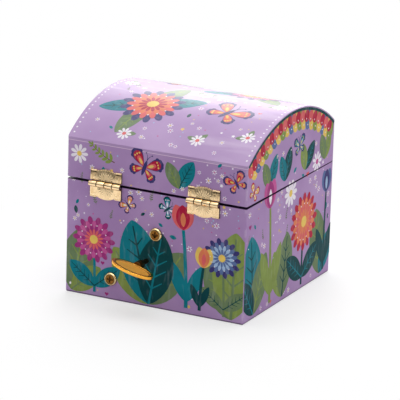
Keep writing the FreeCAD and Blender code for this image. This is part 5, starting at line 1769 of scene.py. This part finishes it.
    def face(self, hair, satin):
        """Lowered lashes, lips, and the ribbon round the bun."""
        bm = bmesh.new()
        for side in (-1, 1):
            for step in range(-2, 3):
                lash = (side * (0.021 + 0.0042 * step), -0.0545 + 0.0012 * abs(side * 2 + step),
                        0.838 - 0.0018 * (2 - abs(step)))
                self.bead(bm, lash, (0.0028, 0.003, 0.0018), None, 8, 5)
        self.moulded(bm, "dancer_eyes", hair, 60)
        bm = bmesh.new()
        self.bead(bm, (0, -0.054, 0.806), (0.0085, 0.004, 0.003), None, 12, 6)
        ring = self.spun((0.030, 0.876), (0.033, 0.879), (0.030, 0.882))
        for vert in ring.verts:
            vert.co += Vector((0, 0.036, 0)) * self.tall
        self.join(bm, ring)
        self.moulded(bm, "dancer_lips_and_ribbon", satin, 60)


class BOX_OT_skirt(bpy.types.Operator):
    """Gather the layers of the dancer's net skirt"""
    bl_idname = "box.skirt"
    bl_label = "Net skirt"

    def execute(self, context):
        inside = context.scene.box_inside
        low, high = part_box("dancer_tutu")
        centre = (low + high) / 2
        reach = (high.x - low.x) / 2
        waist = 0.0027
        layer_gap = 0.0004
        hem_drop = 0.0008
        rings = 9
        sides = 176
        shrink = 0.05
        net = finish_of("skirt_net", skirt_net)
        for layer in range(inside.net_layers):
            bm = turned([(waist + (reach - waist) * ring / rings, 0, 0) for ring in range(rings + 1)],
                        (0, 0, 0), sides)
            size = 1 - shrink * layer
            for vert in bm.verts:
                out = max(0.0, (math.hypot(vert.co.x, vert.co.y) - waist) / (reach - waist))
                turn = math.atan2(vert.co.y, vert.co.x)
                wave = math.sin(turn * inside.ruffles + 2.1 * layer) + 0.4 * math.sin(turn * 9 + layer)
                lift = inside.ruffle_height * wave * out ** 1.5 + layer_gap * (1 - layer) * (0.4 + out)
                vert.co = (centre.x + vert.co.x * size, centre.y + vert.co.y * size,
                           high.z - layer_gap - hem_drop * out ** 2 + lift)
            area = sum(face.calc_area() for face in bm.faces)
            piece = piece_from(bm, f"skirt_net_{layer + 1}", net, "dancer", 60)
            if layer == 0:
                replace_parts(piece, "dancer_tutu")
        return {"FINISHED"}


class BOX_OT_stage(bpy.types.Operator):
    """Set the floor, lamps, background and camera"""
    bl_idname = "box.stage"
    bl_label = "Studio stage"

    def execute(self, context):
        scene = context.scene
        stage = scene.box_stage
        bm = bmesh.new()
        bmesh.ops.create_circle(bm, cap_ends=True, segments=96, radius=stage.floor_reach,
                                matrix=Matrix.Translation((0, 0, -FLOOR_GAP)))
        floor = show("studio_floor", mesh_from(bm, "studio_floor"))
        floor.data.materials.append(finish_of("floor_paint", floor_paint))
        self.lamp("overhead_lamp", *OVERHEAD, stage.overhead)
        self.lamp("far_softbox", *SOFTBOX, stage.far_glow)
        self.world(stage)
        self.camera(stage)
        scene.view_settings.view_transform = "Standard"
        return {"FINISHED"}

    def lamp(self, name, place, wide, tall, power):
        """Area lamp that the camera doesn't see, aimed at the middle of the box."""
        data = bpy.data.lights.new(name, "AREA")
        data.shape = "RECTANGLE"
        data.size = wide
        data.size_y = tall
        data.energy = power
        lamp = show(name, data)
        lamp.visible_camera = False
        lamp.location = place
        aim = Vector(LAMP_AIM) - Vector(place)
        lamp.rotation_euler = aim.to_track_quat("-Z", "Y").to_euler()

    def world(self, stage):
        """White for the camera and a plain fill elsewhere.

        Gloss and glass see a room that is dim low down on the hinges' side.
        """
        world = bpy.data.worlds.new("studio")
        bpy.context.scene.world = world
        world.use_nodes = True
        wiring = Wiring(world.node_tree)
        gloss, glass, camera = (wiring.node("LightPath", f"Is {ray} Ray", {})
                                for ray in ("Glossy", "Transmission", "Camera"))
        ways = wiring.node("TexCoord", "Generated", {})
        room = wiring.span(wiring.axis("Y", ways), *ROOM_TURN, 1.0, stage.horizon)
        height = wiring.span(wiring.axis("Z", ways), *ROOM_HEIGHT, room, 1.0)
        looks = wiring.mix(wiring.calc("MAXIMUM", gloss, glass), stage.fill, height)
        background = wiring.nodes["Background"]
        wiring.give((1.0, 1.0, 1.0, 1.0), background.inputs["Color"])
        wiring.give(wiring.mix(camera, looks, 1.0), background.inputs["Strength"])

    def camera(self, stage):
        data = bpy.data.cameras.new("photo_camera")
        data.sensor_width = 36.0
        data.lens = stage.lens
        data.clip_end = 50.0
        camera = show("photo_camera", data)
        bearing, rise = stage.azimuth, stage.elevation
        back = Vector((math.sin(bearing) * math.cos(rise), -math.cos(bearing) * math.cos(rise),
                       math.sin(rise)))
        right = (-back).cross(Vector((0, 0, 1))).normalized()
        up = right.cross(-back)
        rolled = (right * math.cos(stage.roll) + up * math.sin(stage.roll),
                  up * math.cos(stage.roll) - right * math.sin(stage.roll), back)
        camera.matrix_world = Matrix.LocRotScale(Vector(stage.target) + back * stage.distance,
                                                 Matrix(rolled).transposed(), None)
        bpy.context.scene.camera = camera


OPERATORS = (BOX_OT_stage, BOX_OT_case, BOX_OT_print, BOX_OT_hinges, BOX_OT_key, BOX_OT_fasteners,
             BOX_OT_movement, BOX_OT_boards, BOX_OT_mirror, BOX_OT_cushions, BOX_OT_dancer, BOX_OT_skirt)


class BOX_PT_panel(bpy.types.Panel):
    """Lists the steps that dress the box"""
    bl_idname = "BOX_PT_panel"
    bl_label = "Jewellery box"
    bl_space_type = "VIEW_3D"
    bl_region_type = "UI"
    bl_category = "Jewellery box"

    def draw(self, context):
        for operator in OPERATORS:
            self.layout.operator(operator.bl_idname, text=operator.bl_label)


def register():
    for name, group in GROUPS:
        bpy.utils.register_class(group)
        setattr(bpy.types.Scene, name, PointerProperty(type=group))
    for cls in (*OPERATORS, BOX_PT_panel):
        bpy.utils.register_class(cls)


def unregister():
    for cls in reversed((*OPERATORS, BOX_PT_panel)):
        bpy.utils.unregister_class(cls)
    for name, group in reversed(GROUPS):
        delattr(bpy.types.Scene, name)
        bpy.utils.unregister_class(group)


def main():
    register()
    for operator in OPERATORS:
        family, step = operator.bl_idname.split(".")
        getattr(getattr(bpy.ops, family), step)()
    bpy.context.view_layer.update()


if __name__ == "__main__":
    main()
